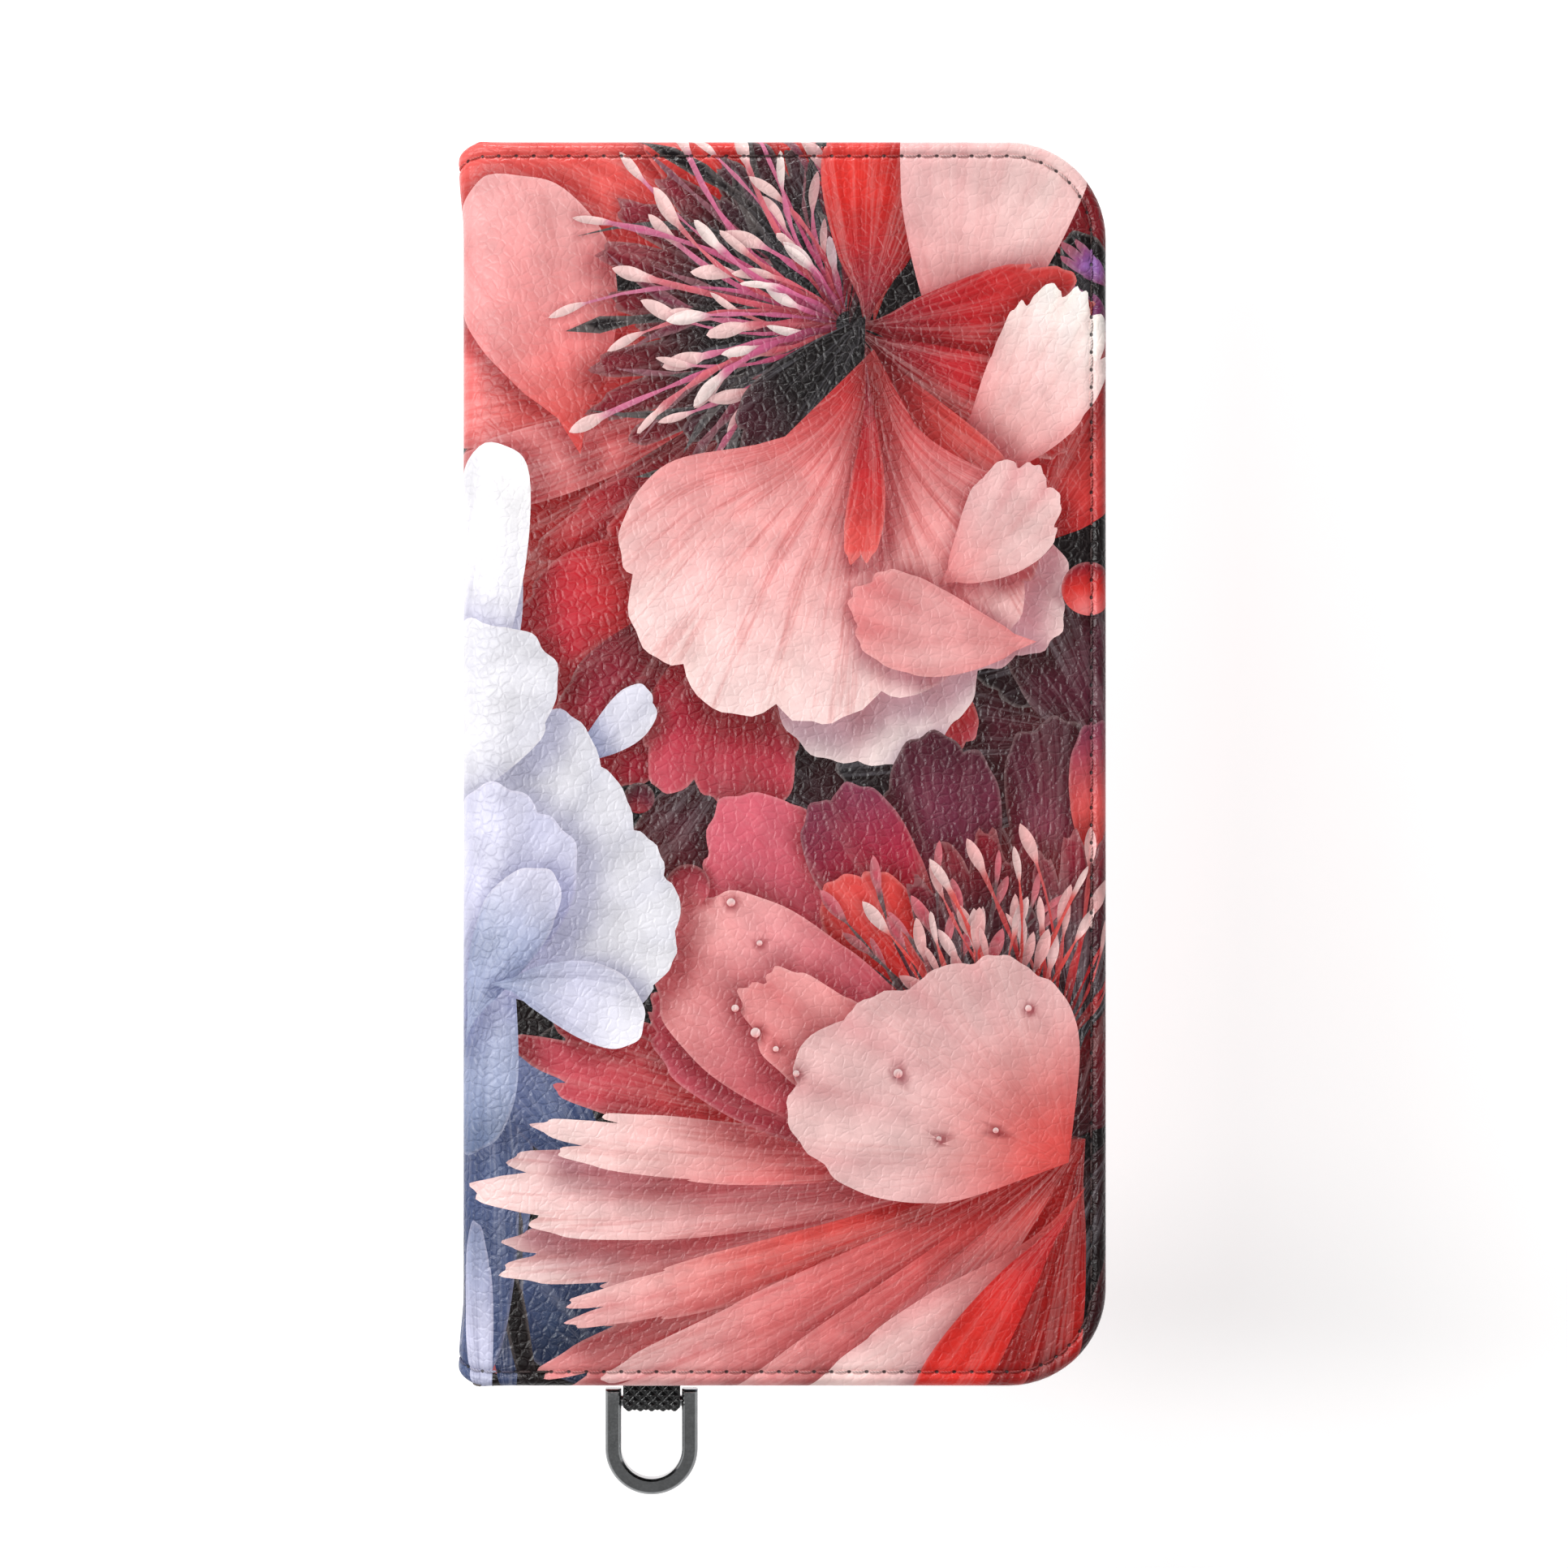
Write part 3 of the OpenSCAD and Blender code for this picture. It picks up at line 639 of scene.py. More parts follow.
def back_flowers():
    """The back cover's flowers: the same family of petals round four blooms of their own."""
    petals = []
    blooms = [((-98, 14), 30, 46, 12), ((-124, -50), 200, 42, 11), ((-72, 66), 80, 38, 10),
              ((-68, -60), 150, 38, 11)]
    outer = ["claret red coral", "red coral salmon", "red salmon blush", "wine claret red",
             "claret coral pink"]
    inner = ["coral salmon blush", "salmon blush shell", "red coral pink"]
    for b, (centre, turn, reach, count) in enumerate(blooms):
        rounds = [(count, 1.0, 22, outer), (count - 3, 0.72, 24, inner)]
        for layer, (number, share, spread, colours) in enumerate(rounds):
            for i in range(number):
                a = math.radians(turn + 17 * layer + i * 360 / number + 8 * math.sin(i * 2.1))
                far = reach * share * (1 + 0.12 * math.sin(i * 1.7 + b))
                tip = (centre[0] + far * math.cos(a), centre[1] + far * math.sin(a))
                bend = 12 * math.sin(i * (layer + 1) + b)
                petals.append(Petal(centre, tip, spread, colours[(i + b) % len(colours)], bend=bend,
                                    waves=5, veins=1.0, seed=i + 7 * b))
        for i in range(4):
            a = math.radians(turn + 90 * i)
            tip = (centre[0] + 0.32 * reach * math.cos(a), centre[1] + 0.32 * reach * math.sin(a))
            petals.append(Petal(centre, tip, 50, "night ink wine", waves=4, ruffle=0.12, claw=0,
                                seed=b + i))
        lengths = (0.18 * reach, 0.45 * reach)
        petals += stamens(centre, range(0, 360, 11), lengths, "claret rose shell", b + 1.0)
    white = [((-140, 92), (-106, 62)), ((-142, 40), (-118, 66)), ((-84, -92), (-90, -44)),
             ((-106, -92), (-98, -52))]
    for i, (root, tip) in enumerate(white):
        petals.append(Petal(root, tip, 24, "mist pearl cream", bend=12 * math.cos(i), waves=4,
                            veins=0.4, seed=i + 80))
    return petals


def paint(points, faces, petals):
    """Each triangle's topmost petal decides the colour, grain and rim values at its three corners."""
    corners = points[faces]
    centres = corners.mean(axis=1)
    outlines = [p.outline() for p in petals]
    owner = np.full(len(faces), -1)
    for k, outline in enumerate(outlines):
        low, high = outline.min(axis=0), outline.max(axis=0)
        near = np.nonzero(((centres > low) & (centres < high)).all(axis=1))[0]
        owner[near[inside_of(outline, centres[near])]] = k
    colour = np.tile(PALETTE["ink"], (len(faces), 3, 1))
    grain = np.zeros((len(faces), 3, 3))
    rim = np.zeros((len(faces), 3, 3))
    shade = np.zeros((len(faces), 3))
    for k, (petal, outline) in enumerate(zip(petals, outlines)):
        own = np.nonzero(owner == k)[0]
        if len(own):
            flat = corners[own].reshape(-1, 2)
            tone, across, reach, along = petal.tone(flat)
            turn = np.full(len(flat), petal.seed * 7.3)
            colour[own] = tone.reshape(-1, 3, 3)
            grain[own] = np.column_stack([across, reach, turn]).reshape(-1, 3, 3)
            veins = petal.veins * (1 - 0.45 * np.clip(along, 0, 1))
            edge = distance_to(outline, flat)
            rim[own] = np.column_stack([edge, veins, along]).reshape(-1, 3, 3)
        # The shadow it casts on all that lies deeper.
        cast = outline + np.array([0.35, -0.4]) * petal.soft
        low, high = cast.min(axis=0) - 2.5 * petal.soft, cast.max(axis=0) + 2.5 * petal.soft
        near = np.nonzero(((centres > low) & (centres < high)).all(axis=1) & (owner < k))[0]
        if len(near):
            flat = corners[near].reshape(-1, 2)
            gap = np.where(inside_of(cast, flat), 0, distance_to(cast, flat))
            dark = petal.strength * np.exp(-((gap / petal.soft) ** 2))
            shade[near] = np.maximum(shade[near], dark.reshape(-1, 3))
    # Shadows on red are deep and warm, and on white they are lilac.
    tint = by_warmth(colour, (0.62, 0.91, 0.88), (0.52, 0.51, 0.38))
    colour = colour * (1 - shade[:, :, None] * tint)
    return np.clip(colour, 0.0005, 1), grain, rim


# ---- meshes ----


def new_object(name, mesh, *materials):
    piece = bpy.data.objects.new(name, mesh)
    bpy.context.scene.collection.objects.link(piece)
    for material in materials:
        mesh.materials.append(material)
    return piece


def mesh_of(name, places, faces, smooth_faces=True):
    """A mesh from places in millimetres."""
    mesh = bpy.data.meshes.new(name)
    mesh.from_pydata((np.asarray(places) * MM).tolist(), [], [list(map(int, f)) for f in faces])
    mesh.polygons.foreach_set("use_smooth", [smooth_faces] * len(mesh.polygons))
    mesh.update()
    return mesh


def keep_used(faces):
    """The points that some faces use, and the faces numbered by those points alone."""
    used, packed = np.unique(faces, return_inverse=True)
    return used, packed.reshape(np.asarray(faces).shape)


def set_attribute(mesh, name, kind, domain, values):
    attribute = mesh.attributes.new(name, kind, domain)
    key = "color" if kind == "FLOAT_COLOR" else "vector"
    attribute.data.foreach_set(key, np.ascontiguousarray(values, dtype=np.float32).ravel())


def fix_normals(mesh):
    """Turns all faces of closed solids outward."""
    work = bmesh.new()
    work.from_mesh(mesh)
    bmesh.ops.recalc_face_normals(work, faces=work.faces)
    work.to_mesh(mesh)
    work.free()


def tube_faces(rings, sides, first=0):
    """A closed tube: quads from each ring of points to the next, and a cap at either end."""
    last = first + (rings - 1) * sides
    faces = []
    for a in range(first, last, sides):
        for j in range(sides):
            b = (j + 1) % sides
            faces.append([a + j, a + b, a + b + sides, a + j + sides])
    faces.append(list(range(first, first + sides))[::-1])
    faces.append(list(range(last, last + sides)))
    return faces


THREAD_SIDES = 8


def stitch_section(rings, radius, thinnest):
    """A stitch's steps from -1 to 1 along it, and how wide and how high each of its points lies."""
    step = np.linspace(-1, 1, rings)
    girth = np.maximum(np.sqrt(1 - np.abs(step) ** 5) * radius, thinnest)
    turn = np.arange(THREAD_SIDES) * TAU / THREAD_SIDES
    return step, np.outer(girth, np.cos(turn)), np.outer(girth, np.sin(turn))


def thread_places(s):
    """Each point's place along the seam, and its number round the thread."""
    around = np.tile(np.arange(THREAD_SIDES), len(s))
    return np.column_stack([np.repeat(s, THREAD_SIDES), around, np.zeros(len(around))])


def mark_cut(mesh, flat):
    """The half sheets meet in the middle of the spine. A sharp cut keeps the shading even across it."""
    on_cut = np.abs(flat[:, 0] - SPINE_MID) < 1e-3
    edges = np.zeros(2 * len(mesh.edges), int)
    mesh.edges.foreach_get("vertices", edges)
    edges = edges.reshape(-1, 2)
    sharp = on_cut[edges].all(axis=1)
    attribute = mesh.attributes.get("sharp_edge") or mesh.attributes.new("sharp_edge", "BOOLEAN", "EDGE")
    attribute.data.foreach_set("value", sharp)


def seam_coordinates(flat):
    """How far round the stitch line each point lies, and how far in from the edge."""
    _, _, inset = edge_distance(flat)
    half_w, half_h = SHEET_HALF - STITCH_INSET, HALF_H - STITCH_INSET
    radius = CORNER_R - STITCH_INSET
    p = flat - np.array([SPINE_MID, 0])
    line_w, line_h = half_w - radius, half_h - radius
    arc = radius * math.pi / 2
    total = 4 * (line_w + line_h + arc)
    top = p[:, 1] >= 0
    right = p[:, 0] >= 0
    x, y = np.abs(p[:, 0]), np.abs(p[:, 1])
    angle = np.arctan2(np.maximum(y - line_h, 0), np.maximum(x - line_w, 1e-9))
    in_corner = (x > line_w) & (y > line_h)
    on_side = (x - line_w) > (y - line_h)
    on_end = line_h + arc + (line_w - np.minimum(x, line_w))
    quarter = np.where(in_corner, line_h + radius * angle,
                       np.where(on_side, np.minimum(y, line_h), on_end))
    quarter_length = line_h + arc + line_w
    around = np.where(right & top, quarter, 0)
    around = np.where(~right & top, 2 * quarter_length - quarter, around)
    around = np.where(~right & ~top, 2 * quarter_length + quarter, around)
    around = np.where(right & ~top, total - quarter, around)
    return around, inset, total


def stitch_points(around):
    """Places on the stitch line, and the directions along it and outward, from the distance round it."""
    radius = CORNER_R - STITCH_INSET
    line_w = SHEET_HALF - STITCH_INSET - radius
    line_h = HALF_H - STITCH_INSET - radius
    arc = radius * math.pi / 2
    length = line_h + arc + line_w
    quarter_index = np.floor(around / length).astype(int) % 4
    s = around % length
    s = np.where(quarter_index % 2 == 1, length - s, s)
    angle = np.clip((s - line_h) / radius, 0, math.pi / 2)
    x = line_w + radius * np.cos(angle) - np.maximum(s - line_h - arc, 0)
    y = np.minimum(s, line_h) + radius * np.sin(angle)
    sx = np.where((quarter_index == 0) | (quarter_index == 3), 1, -1)
    sy = np.where(quarter_index < 2, 1, -1)
    outward = np.column_stack([np.cos(angle) * sx, np.sin(angle) * sy])
    return np.column_stack([SPINE_MID + x * sx, y * sy]), outward


_, _, SEAM_LENGTH = seam_coordinates(np.zeros((1, 2)))
STITCHES = round(SEAM_LENGTH / STITCH_PITCH)
PITCH = SEAM_LENGTH / STITCHES

# ---- materials ----


class Nodes:
    """Short calls for building one material's node tree."""

    def __init__(self, name, base=(0.5, 0.5, 0.5), roughness=0.5, metallic=0.0, specular=0.5):
        self.material = bpy.data.materials.new(name)
        self.material.use_nodes = True
        self.tree = self.material.node_tree
        self.shader = self.tree.nodes["Principled BSDF"]
        self.shader.inputs["Base Color"].default_value = (*base, 1)
        self.shader.inputs["Roughness"].default_value = roughness
        self.shader.inputs["Metallic"].default_value = metallic
        self.shader.inputs["Specular IOR Level"].default_value = specular
        self.material.diffuse_color = (*base, 1)

    def node(self, kind, inputs=(), **settings):
        node = self.tree.nodes.new(kind)
        for key, value in settings.items():
            setattr(node, key, value)
        for key, value in dict(inputs).items():
            self.put(node.inputs[key], value)
        return node

    def put(self, socket, value):
        if isinstance(value, bpy.types.NodeSocket):
            self.tree.links.new(value, socket)
        else:
            socket.default_value = value

    def math(self, operation, a, b=0.0):
        node = self.node("ShaderNodeMath", {0: a, 1: b, 2: 0.0}, operation=operation)
        return node.outputs[0]

    def times(self, a, b):
        return self.math("MULTIPLY", a, b)

    def plus(self, a, b):
        return self.math("ADD", a, b)

    def minus(self, a, b):
        return self.math("SUBTRACT", a, b)

    def vector(self, operation, a, b=(0, 0, 0)):
        return self.node("ShaderNodeVectorMath", {0: a, 1: b}, operation=operation).outputs[0]

    def ramp(self, value, low, high, out_low=0.0, out_high=1.0):
        node = self.node("ShaderNodeMapRange", {"Value": value, "From Min": low, "From Max": high,
                                                "To Min": out_low, "To Max": out_high},
                         interpolation_type="SMOOTHSTEP")
        return node.outputs[0]

    def mix(self, factor, a, b, blend="MIX"):
        node = self.node("ShaderNodeMix", data_type="RGBA", blend_type=blend)
        self.put(node.inputs[0], factor)
        self.put(node.inputs[6], a if isinstance(a, bpy.types.NodeSocket) else (*a, 1))
        self.put(node.inputs[7], b if isinstance(b, bpy.types.NodeSocket) else (*b, 1))
        return node.outputs[2]

    def noise(self, vector, scale, detail=2.0, roughness=0.5):
        node = self.node("ShaderNodeTexNoise", {"Vector": vector, "Scale": scale, "Detail": detail,
                                                "Roughness": roughness})
        return node.outputs["Fac"]

    def cell_edges(self, vector, scale):
        """The distance to the nearest border between cells."""
        node = self.node("ShaderNodeTexVoronoi", {"Vector": vector, "Scale": scale},
                         feature="DISTANCE_TO_EDGE", voronoi_dimensions="2D")
        return node.outputs["Distance"]

    def attribute(self, name, output="Vector"):
        return self.node("ShaderNodeAttribute", attribute_name=name).outputs[output]

    def parts(self, name):
        """The three numbers of a vector attribute."""
        return self.node("ShaderNodeSeparateXYZ", {"Vector": self.attribute(name)}).outputs

    def grey(self, value):
        return self.node("ShaderNodeCombineColor", {0: value, 1: value, 2: value}).outputs[0]

    def bump(self, height, strength, distance):
        node = self.node("ShaderNodeBump", {"Height": height, "Strength": strength, "Distance": distance})
        self.put(self.shader.inputs["Normal"], node.outputs[0])

    def set(self, name, value):
        self.put(self.shader.inputs[name], value)


def millimetres(n):
    """Object coordinates in millimetres."""
    node = n.node("ShaderNodeVectorMath", operation="SCALE")
    n.put(node.inputs[0], n.node("ShaderNodeTexCoord").outputs["Object"])
    node.inputs["Scale"].default_value = 1 / MM
    return node.outputs[0]


def pebble(n, place, cell):
    """Leather grain: the crease lines between pebbles, and a height that crowns each pebble."""
    warp = n.node("ShaderNodeTexNoise", {"Vector": place, "Scale": 0.9 / cell, "Detail": 2.0})
    shift = n.vector("SUBTRACT", warp.outputs["Color"], (0.5, 0.5, 0.5))
    moved = n.vector("ADD", place, n.vector("MULTIPLY", shift, (0.9 * cell, 0.9 * cell, 0)))
    large = n.cell_edges(moved, 1 / cell)
    small = n.cell_edges(moved, 2.3 / cell)
    patchy = n.ramp(n.noise(place, 0.35 / cell), 0.4, 0.6)
    crease = n.ramp(large, 0.0, 0.15, 1.0, 0.0)
    fine = n.times(n.ramp(small, 0.0, 0.12, 1.0, 0.0), n.times(patchy, 0.5))
    line = n.math("MAXIMUM", n.times(crease, n.ramp(patchy, 0, 1, 0.55, 1.0)), fine)
    dome = n.ramp(large, 0.0, 0.26)
    height = n.minus(n.times(dome, 0.34), n.times(line, 0.22))
    height = n.plus(height, n.times(n.noise(place, 4.0 / cell, 2.0), 0.07))
    return line, height


def printed_leather():
    n = Nodes("printed_leather", (0.6, 0.2, 0.2), roughness=0.4, specular=0.34)
    flat = n.attribute("sheet_place")
    colour = n.attribute("print_colour", "Color")
    grain = n.attribute("print_grain")
    rim, seam = n.parts("print_rim"), n.parts("seam_place")
    # Veins run from root to tip: noise stretched along the petal.
    broad = n.noise(n.vector("MULTIPLY", grain, (0.55, 0.03, 1)), 1.0, 3.0, 0.6)
    fine = n.noise(n.vector("MULTIPLY", grain, (2.6, 0.10, 1)), 1.0, 3.0, 0.65)
    vein = n.plus(n.ramp(broad, 0.34, 0.66, -1, 1), n.times(n.ramp(fine, 0.32, 0.68, -1, 1), 0.8))
    vein = n.times(vein, rim["Y"])
    paler = n.times(n.math("MAXIMUM", vein, 0.0), 0.21)
    darker = n.times(n.math("MAXIMUM", n.times(vein, -1.0), 0.0), 0.4)
    parts = n.node("ShaderNodeSeparateColor", {"Color": colour}).outputs
    warm = n.ramp(n.minus(parts[0], parts[2]), -0.02, 0.12)
    colour = n.mix(paler, colour, n.mix(0.55, colour, n.mix(warm, PALETTE["pearl"], PALETTE["shell"])))
    line_colour = n.mix(warm, (0.4, 0.4, 0.48), (0.66, 0.25, 0.25))
    colour = n.mix(darker, colour, n.mix(1.0, colour, line_colour, "MULTIPLY"))
    # Painted mottling, and a pale line round the edge of each petal.
    mottle = n.ramp(n.noise(flat, 0.16, 4.0, 0.6), 0.3, 0.7, 0.86, 1.12)
    colour = n.mix(1.0, colour, n.grey(mottle), "MULTIPLY")
    edge = n.ramp(rim["X"], 0.05, 0.5, 0.09, 0.0)
    edge = n.times(edge, n.ramp(rim["Z"], 0.35, 0.8))
    colour = n.mix(edge, colour, PALETTE["cream"])
    line, height = pebble(n, flat, 1.2)
    # Crease lines are pulled a little toward a mid pink grey: painted glints in the creases of dark ink,
    # and painted shade in those of pale ink.
    colour = n.mix(n.times(line, 0.035), colour, (0.42, 0.33, 0.33))
    # Needle holes between the stitches: a slight dimple in the bump, and painted shade that darkens each
    # hole to near black.
    step = n.minus(n.math("FRACT", n.math("DIVIDE", seam["X"], PITCH)), 0.5)
    dx = n.times(step, PITCH / 0.27)
    dy = n.math("DIVIDE", n.minus(seam["Y"], STITCH_INSET), 0.2)
    hole = n.math("SQRT", n.plus(n.times(dx, dx), n.times(dy, dy)))
    hole = n.ramp(hole, 0.7, 1.25, 1.0, 0.0)
    colour = n.mix(n.times(hole, 0.92), colour, (0.012, 0.008, 0.009))
    n.set("Base Color", colour)
    n.set("Roughness", n.plus(n.ramp(n.noise(flat, 0.9, 3.0), 0.3, 0.7, 0.27, 0.33), n.times(line, 0.1)))
    # The grain shows more where the ink is dark.
    value = n.node("ShaderNodeSeparateColor", {"Color": colour}).outputs[0]
    height = n.times(height, n.ramp(value, 0.05, 0.6, 1.7, 0.6))
    n.bump(n.minus(height, hole), 0.45, 0.0002)
    return n.material


def woven(name, base, pale, cell=0.35, roughness=0.85):
    """Microfibre or woven backing: a fine nap with soft cloudy shifts of tone."""
    n = Nodes(name, base, roughness, specular=0.25)
    place = millimetres(n)
    nap = n.noise(place, 1 / cell, 4.0, 0.7)
    cloud = n.noise(place, 0.12, 3.0)
    colour = n.mix(n.ramp(nap, 0.35, 0.7), base, pale)
    n.set("Base Color", n.mix(n.ramp(cloud, 0.3, 0.7, 0.0, 0.35), colour, pale))
    n.set("Sheen Weight", 0.25)
    n.bump(nap, 0.5, 0.00008)
    return n.material


def grained(name, base, pale, cell=1.1, roughness=0.42, strength=0.45, specular=0.45):
    """Plain pebbled leather."""
    n = Nodes(name, base, roughness, specular=specular)
    place = millimetres(n)
    line, height = pebble(n, place, cell)
    cloud = n.ramp(n.noise(place, 0.2), 0.3, 0.7, 0.1, 0.4)
    n.set("Base Color", n.mix(n.times(line, 0.4), n.mix(cloud, base, pale), pale))
    n.set("Roughness", n.plus(n.ramp(n.noise(place, 1.5), 0.3, 0.7, roughness - 0.06, roughness + 0.06),
                              n.times(line, 0.12)))
    n.bump(height, strength, 0.00009)
    return n.material


def thread_material(name, base=None):
    """Twisted thread. The outer thread takes the print's colour."""
    n = Nodes(name, base or (0.7, 0.4, 0.4), 0.55, specular=0.35)
    twist = n.parts("thread_place")
    ply = n.math("SINE", n.times(n.plus(twist["X"], n.times(twist["Y"], 0.09)), TAU / 0.42))
    shade = n.ramp(ply, -1, 1, 0.7, 1.0)
    colour = base or n.attribute("thread_colour", "Color")
    n.set("Base Color", n.mix(1.0, colour, n.grey(shade), "MULTIPLY"))
    n.bump(ply, 0.5, 0.00005)
    return n.material


def moulded(name, base, roughness, cell):
    """Moulded plastic with a fine spark texture."""
    n = Nodes(name, base, roughness, specular=0.4)
    place = millimetres(n)
    spark = n.noise(place, 1 / cell, 2.0, 0.7)
    pale = tuple(min(1, 1.6 * c + 0.004) for c in base)
    n.set("Base Color", n.mix(n.ramp(spark, 0.35, 0.65, 0.0, 0.5), base, pale))
    n.set("Roughness", n.ramp(n.noise(place, 0.12, 3.0), 0.3, 0.7, roughness - 0.02, roughness + 0.03))
    n.bump(spark, 0.4, 0.00005)
    return n.material


def plated(name, base, roughness):
    """Dark plated metal with a faint brush and soft cloudy shifts of tone."""
    n = Nodes(name, base, roughness, metallic=1.0)
    place = millimetres(n)
    brush = n.noise(place, 3.5, 3.0, 0.6)
    cloud = n.noise(place, 0.7, 3.0)
    pale = tuple(min(1, 1.5 * c) for c in base)
    brushed = n.mix(n.ramp(brush, 0.3, 0.7, 0, 0.15), base, pale)
    n.set("Base Color", n.mix(n.ramp(cloud, 0.35, 0.7, 0, 0.25), brushed, pale))
    n.set("Roughness", n.ramp(brush, 0.3, 0.7, roughness - 0.03, roughness + 0.05))
    n.bump(brush, 0.05, 0.00002)
    return n.material


LEATHER = printed_leather()
BACKING = woven("skin_backing", (0.16, 0.14, 0.13), (0.22, 0.2, 0.19), cell=0.5)
LINING = woven("lining_microfibre", (0.014, 0.013, 0.015), (0.034, 0.032, 0.036))
POCKET = grained("pocket_leather", (0.016, 0.015, 0.017), (0.04, 0.038, 0.042))
PRINT_THREAD = thread_material("printed_thread")
DARK_THREAD = thread_material("dark_thread", (0.05, 0.048, 0.052))
TRAY = moulded("tray_plastic", (0.012, 0.012, 0.013), 0.5, 0.22)
FOAM = moulded("adhesive_foam", (0.6, 0.59, 0.55), 0.8, 0.3)
BOARD = woven("grey_board", (0.16, 0.15, 0.14), (0.24, 0.23, 0.21), cell=0.7)
NICKEL = plated("nickel", (0.55, 0.54, 0.52), 0.25)
GUNMETAL = plated("gunmetal", (0.36, 0.368, 0.375), 0.16)
STRAP = grained("strap_leather", (0.004, 0.004, 0.0045), (0.012, 0.012, 0.013), cell=0.4,
                roughness=0.26, strength=0.12, specular=0.9)

# ---- the printed wrap ----

PETALS = back_flowers() + front_flowers()  # in flat coordinates, from the lowest to the topmost


def sheet_halves(flat, faces):
    """The front half of the sheet and then the back half, cut in the middle of the spine."""
    in_front = flat[faces].mean(axis=1)[:, 0] > SPINE_MID
    for front in (True, False):
        chosen = in_front == front
        used, packed = keep_used(faces[chosen])
        yield front, chosen, used, packed


def bend_over_fold(piece, front):
    """Bakes the piece's placement into its mesh. The front half runs from spine to front cover and the back
    half from back cover to spine; both are treated alike."""
    if front:
        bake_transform(piece)
    else:
        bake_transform(piece)


def make_wrap():
    insets = [-SHEET_MARGIN, -2.2, -1.6, -1.05, -0.55, -0.1, 0.3, 0.65, 0.95, EDGE_ROLL, 1.45, 1.6, 1.72,
              STITCH_INSET, 1.98, 2.1, 2.3, 2.7, 3.4]
    drawing = sheet_drawing(insets, 10, 1.45, step_lines=(0.5, 1.0, 1.5, 2.0, 2.5, 3.0, 4.2))
    for petal in PETALS:
        drawing.add(petal.outline(), closed=True)
    flat, faces = drawing.triangles()
    distance, _, _ = edge_distance(flat[faces].mean(axis=1))
    keep = distance > -SHEET_MARGIN
    faces = faces[keep]
    colour, grain, rim = paint(flat, faces, PETALS)
    places = lay_out(flat)
    around, inset, _ = seam_coordinates(flat)
    for front, chosen, used, packed in sheet_halves(flat, faces):
        name = "wrap_front" if front else "wrap_back"
        signed, wrong = flat_facing(flat[used], packed)
        mesh = mesh_of(name, places[used], signed)
        order = np.where(wrong[:, None], [2, 1, 0], [0, 1, 2])
        pick = np.arange(chosen.sum())[:, None]
        for key, values in (("print_colour", colour), ("print_grain", grain), ("print_rim", rim)):
            values = values[chosen][pick, order]
            kind = "FLOAT_VECTOR"
            if key == "print_colour":
                kind = "FLOAT_COLOR"
                values = np.concatenate([values, np.ones((*values.shape[:2], 1))], axis=2)
            set_attribute(mesh, key, kind, "CORNER", values)
        zero = np.zeros(len(used))
        place = np.column_stack([flat[used], zero])
        set_attribute(mesh, "sheet_place", "FLOAT_VECTOR", "POINT", place)
        place = np.column_stack([around[used], inset[used], zero])
        set_attribute(mesh, "seam_place", "FLOAT_VECTOR", "POINT", place)
        mark_cut(mesh, flat[used])
        piece = new_object(name, mesh, LEATHER, BACKING)
        thicken(piece, SKIN_T)
        bend_over_fold(piece, front)
        if front:
            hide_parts("front_skin", "spine_skin")
        else:
            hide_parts("back_skin")
    return flat, faces, colour


def flat_facing(flat, faces):
    """Faces wound anticlockwise on the flat sheet, which is outward on the case."""
    a, b, c = flat[faces[:, 0]], flat[faces[:, 1]], flat[faces[:, 2]]
    area = (b - a)[:, 0] * (c - a)[:, 1] - (b - a)[:, 1] * (c - a)[:, 0]
    wrong = area < 0
    faces = faces.copy()
    faces[wrong] = faces[wrong][:, ::-1]
    return faces, wrong


def thicken(piece, thickness):
    """Gives a sheet its thickness on the inner side, in its second material."""
    solid = piece.modifiers.new("thickness", "SOLIDIFY")
    solid.thickness = thickness * MM
    solid.offset = -1
    solid.material_offset = 1
    solid.material_offset_rim = 1


def make_lining():
    insets = [LINING_INSET, 1.48, 1.53, 1.6, 1.68, 1.76, STITCH_INSET, 1.94, 2.05, 2.3]
    drawing = sheet_drawing(insets, 8, 3.2, step_lines=(0.4, 0.6, 0.75, 0.9, 1.05, 1.2, 2.0))
    flat, faces = drawing.triangles()
    distance, _, _ = edge_distance(flat[faces].mean(axis=1))
    faces = faces[distance > LINING_INSET]
    places = lay_out(flat, lining=True)
    for front, _, used, packed in sheet_halves(flat, faces):
        name = "lining_sheet_front" if front else "lining_sheet_back"
        signed, _ = flat_facing(flat[used], packed)
        mesh = mesh_of(name, places[used], signed[:, ::-1])
        mark_cut(mesh, flat[used])
        piece = new_object(name, mesh, LINING, LINING)
        thicken(piece, LINING_T)
        bend_over_fold(piece, front)
        if front:
            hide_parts("front_lining", "spine_lining")
        else:
            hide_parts("back_lining")


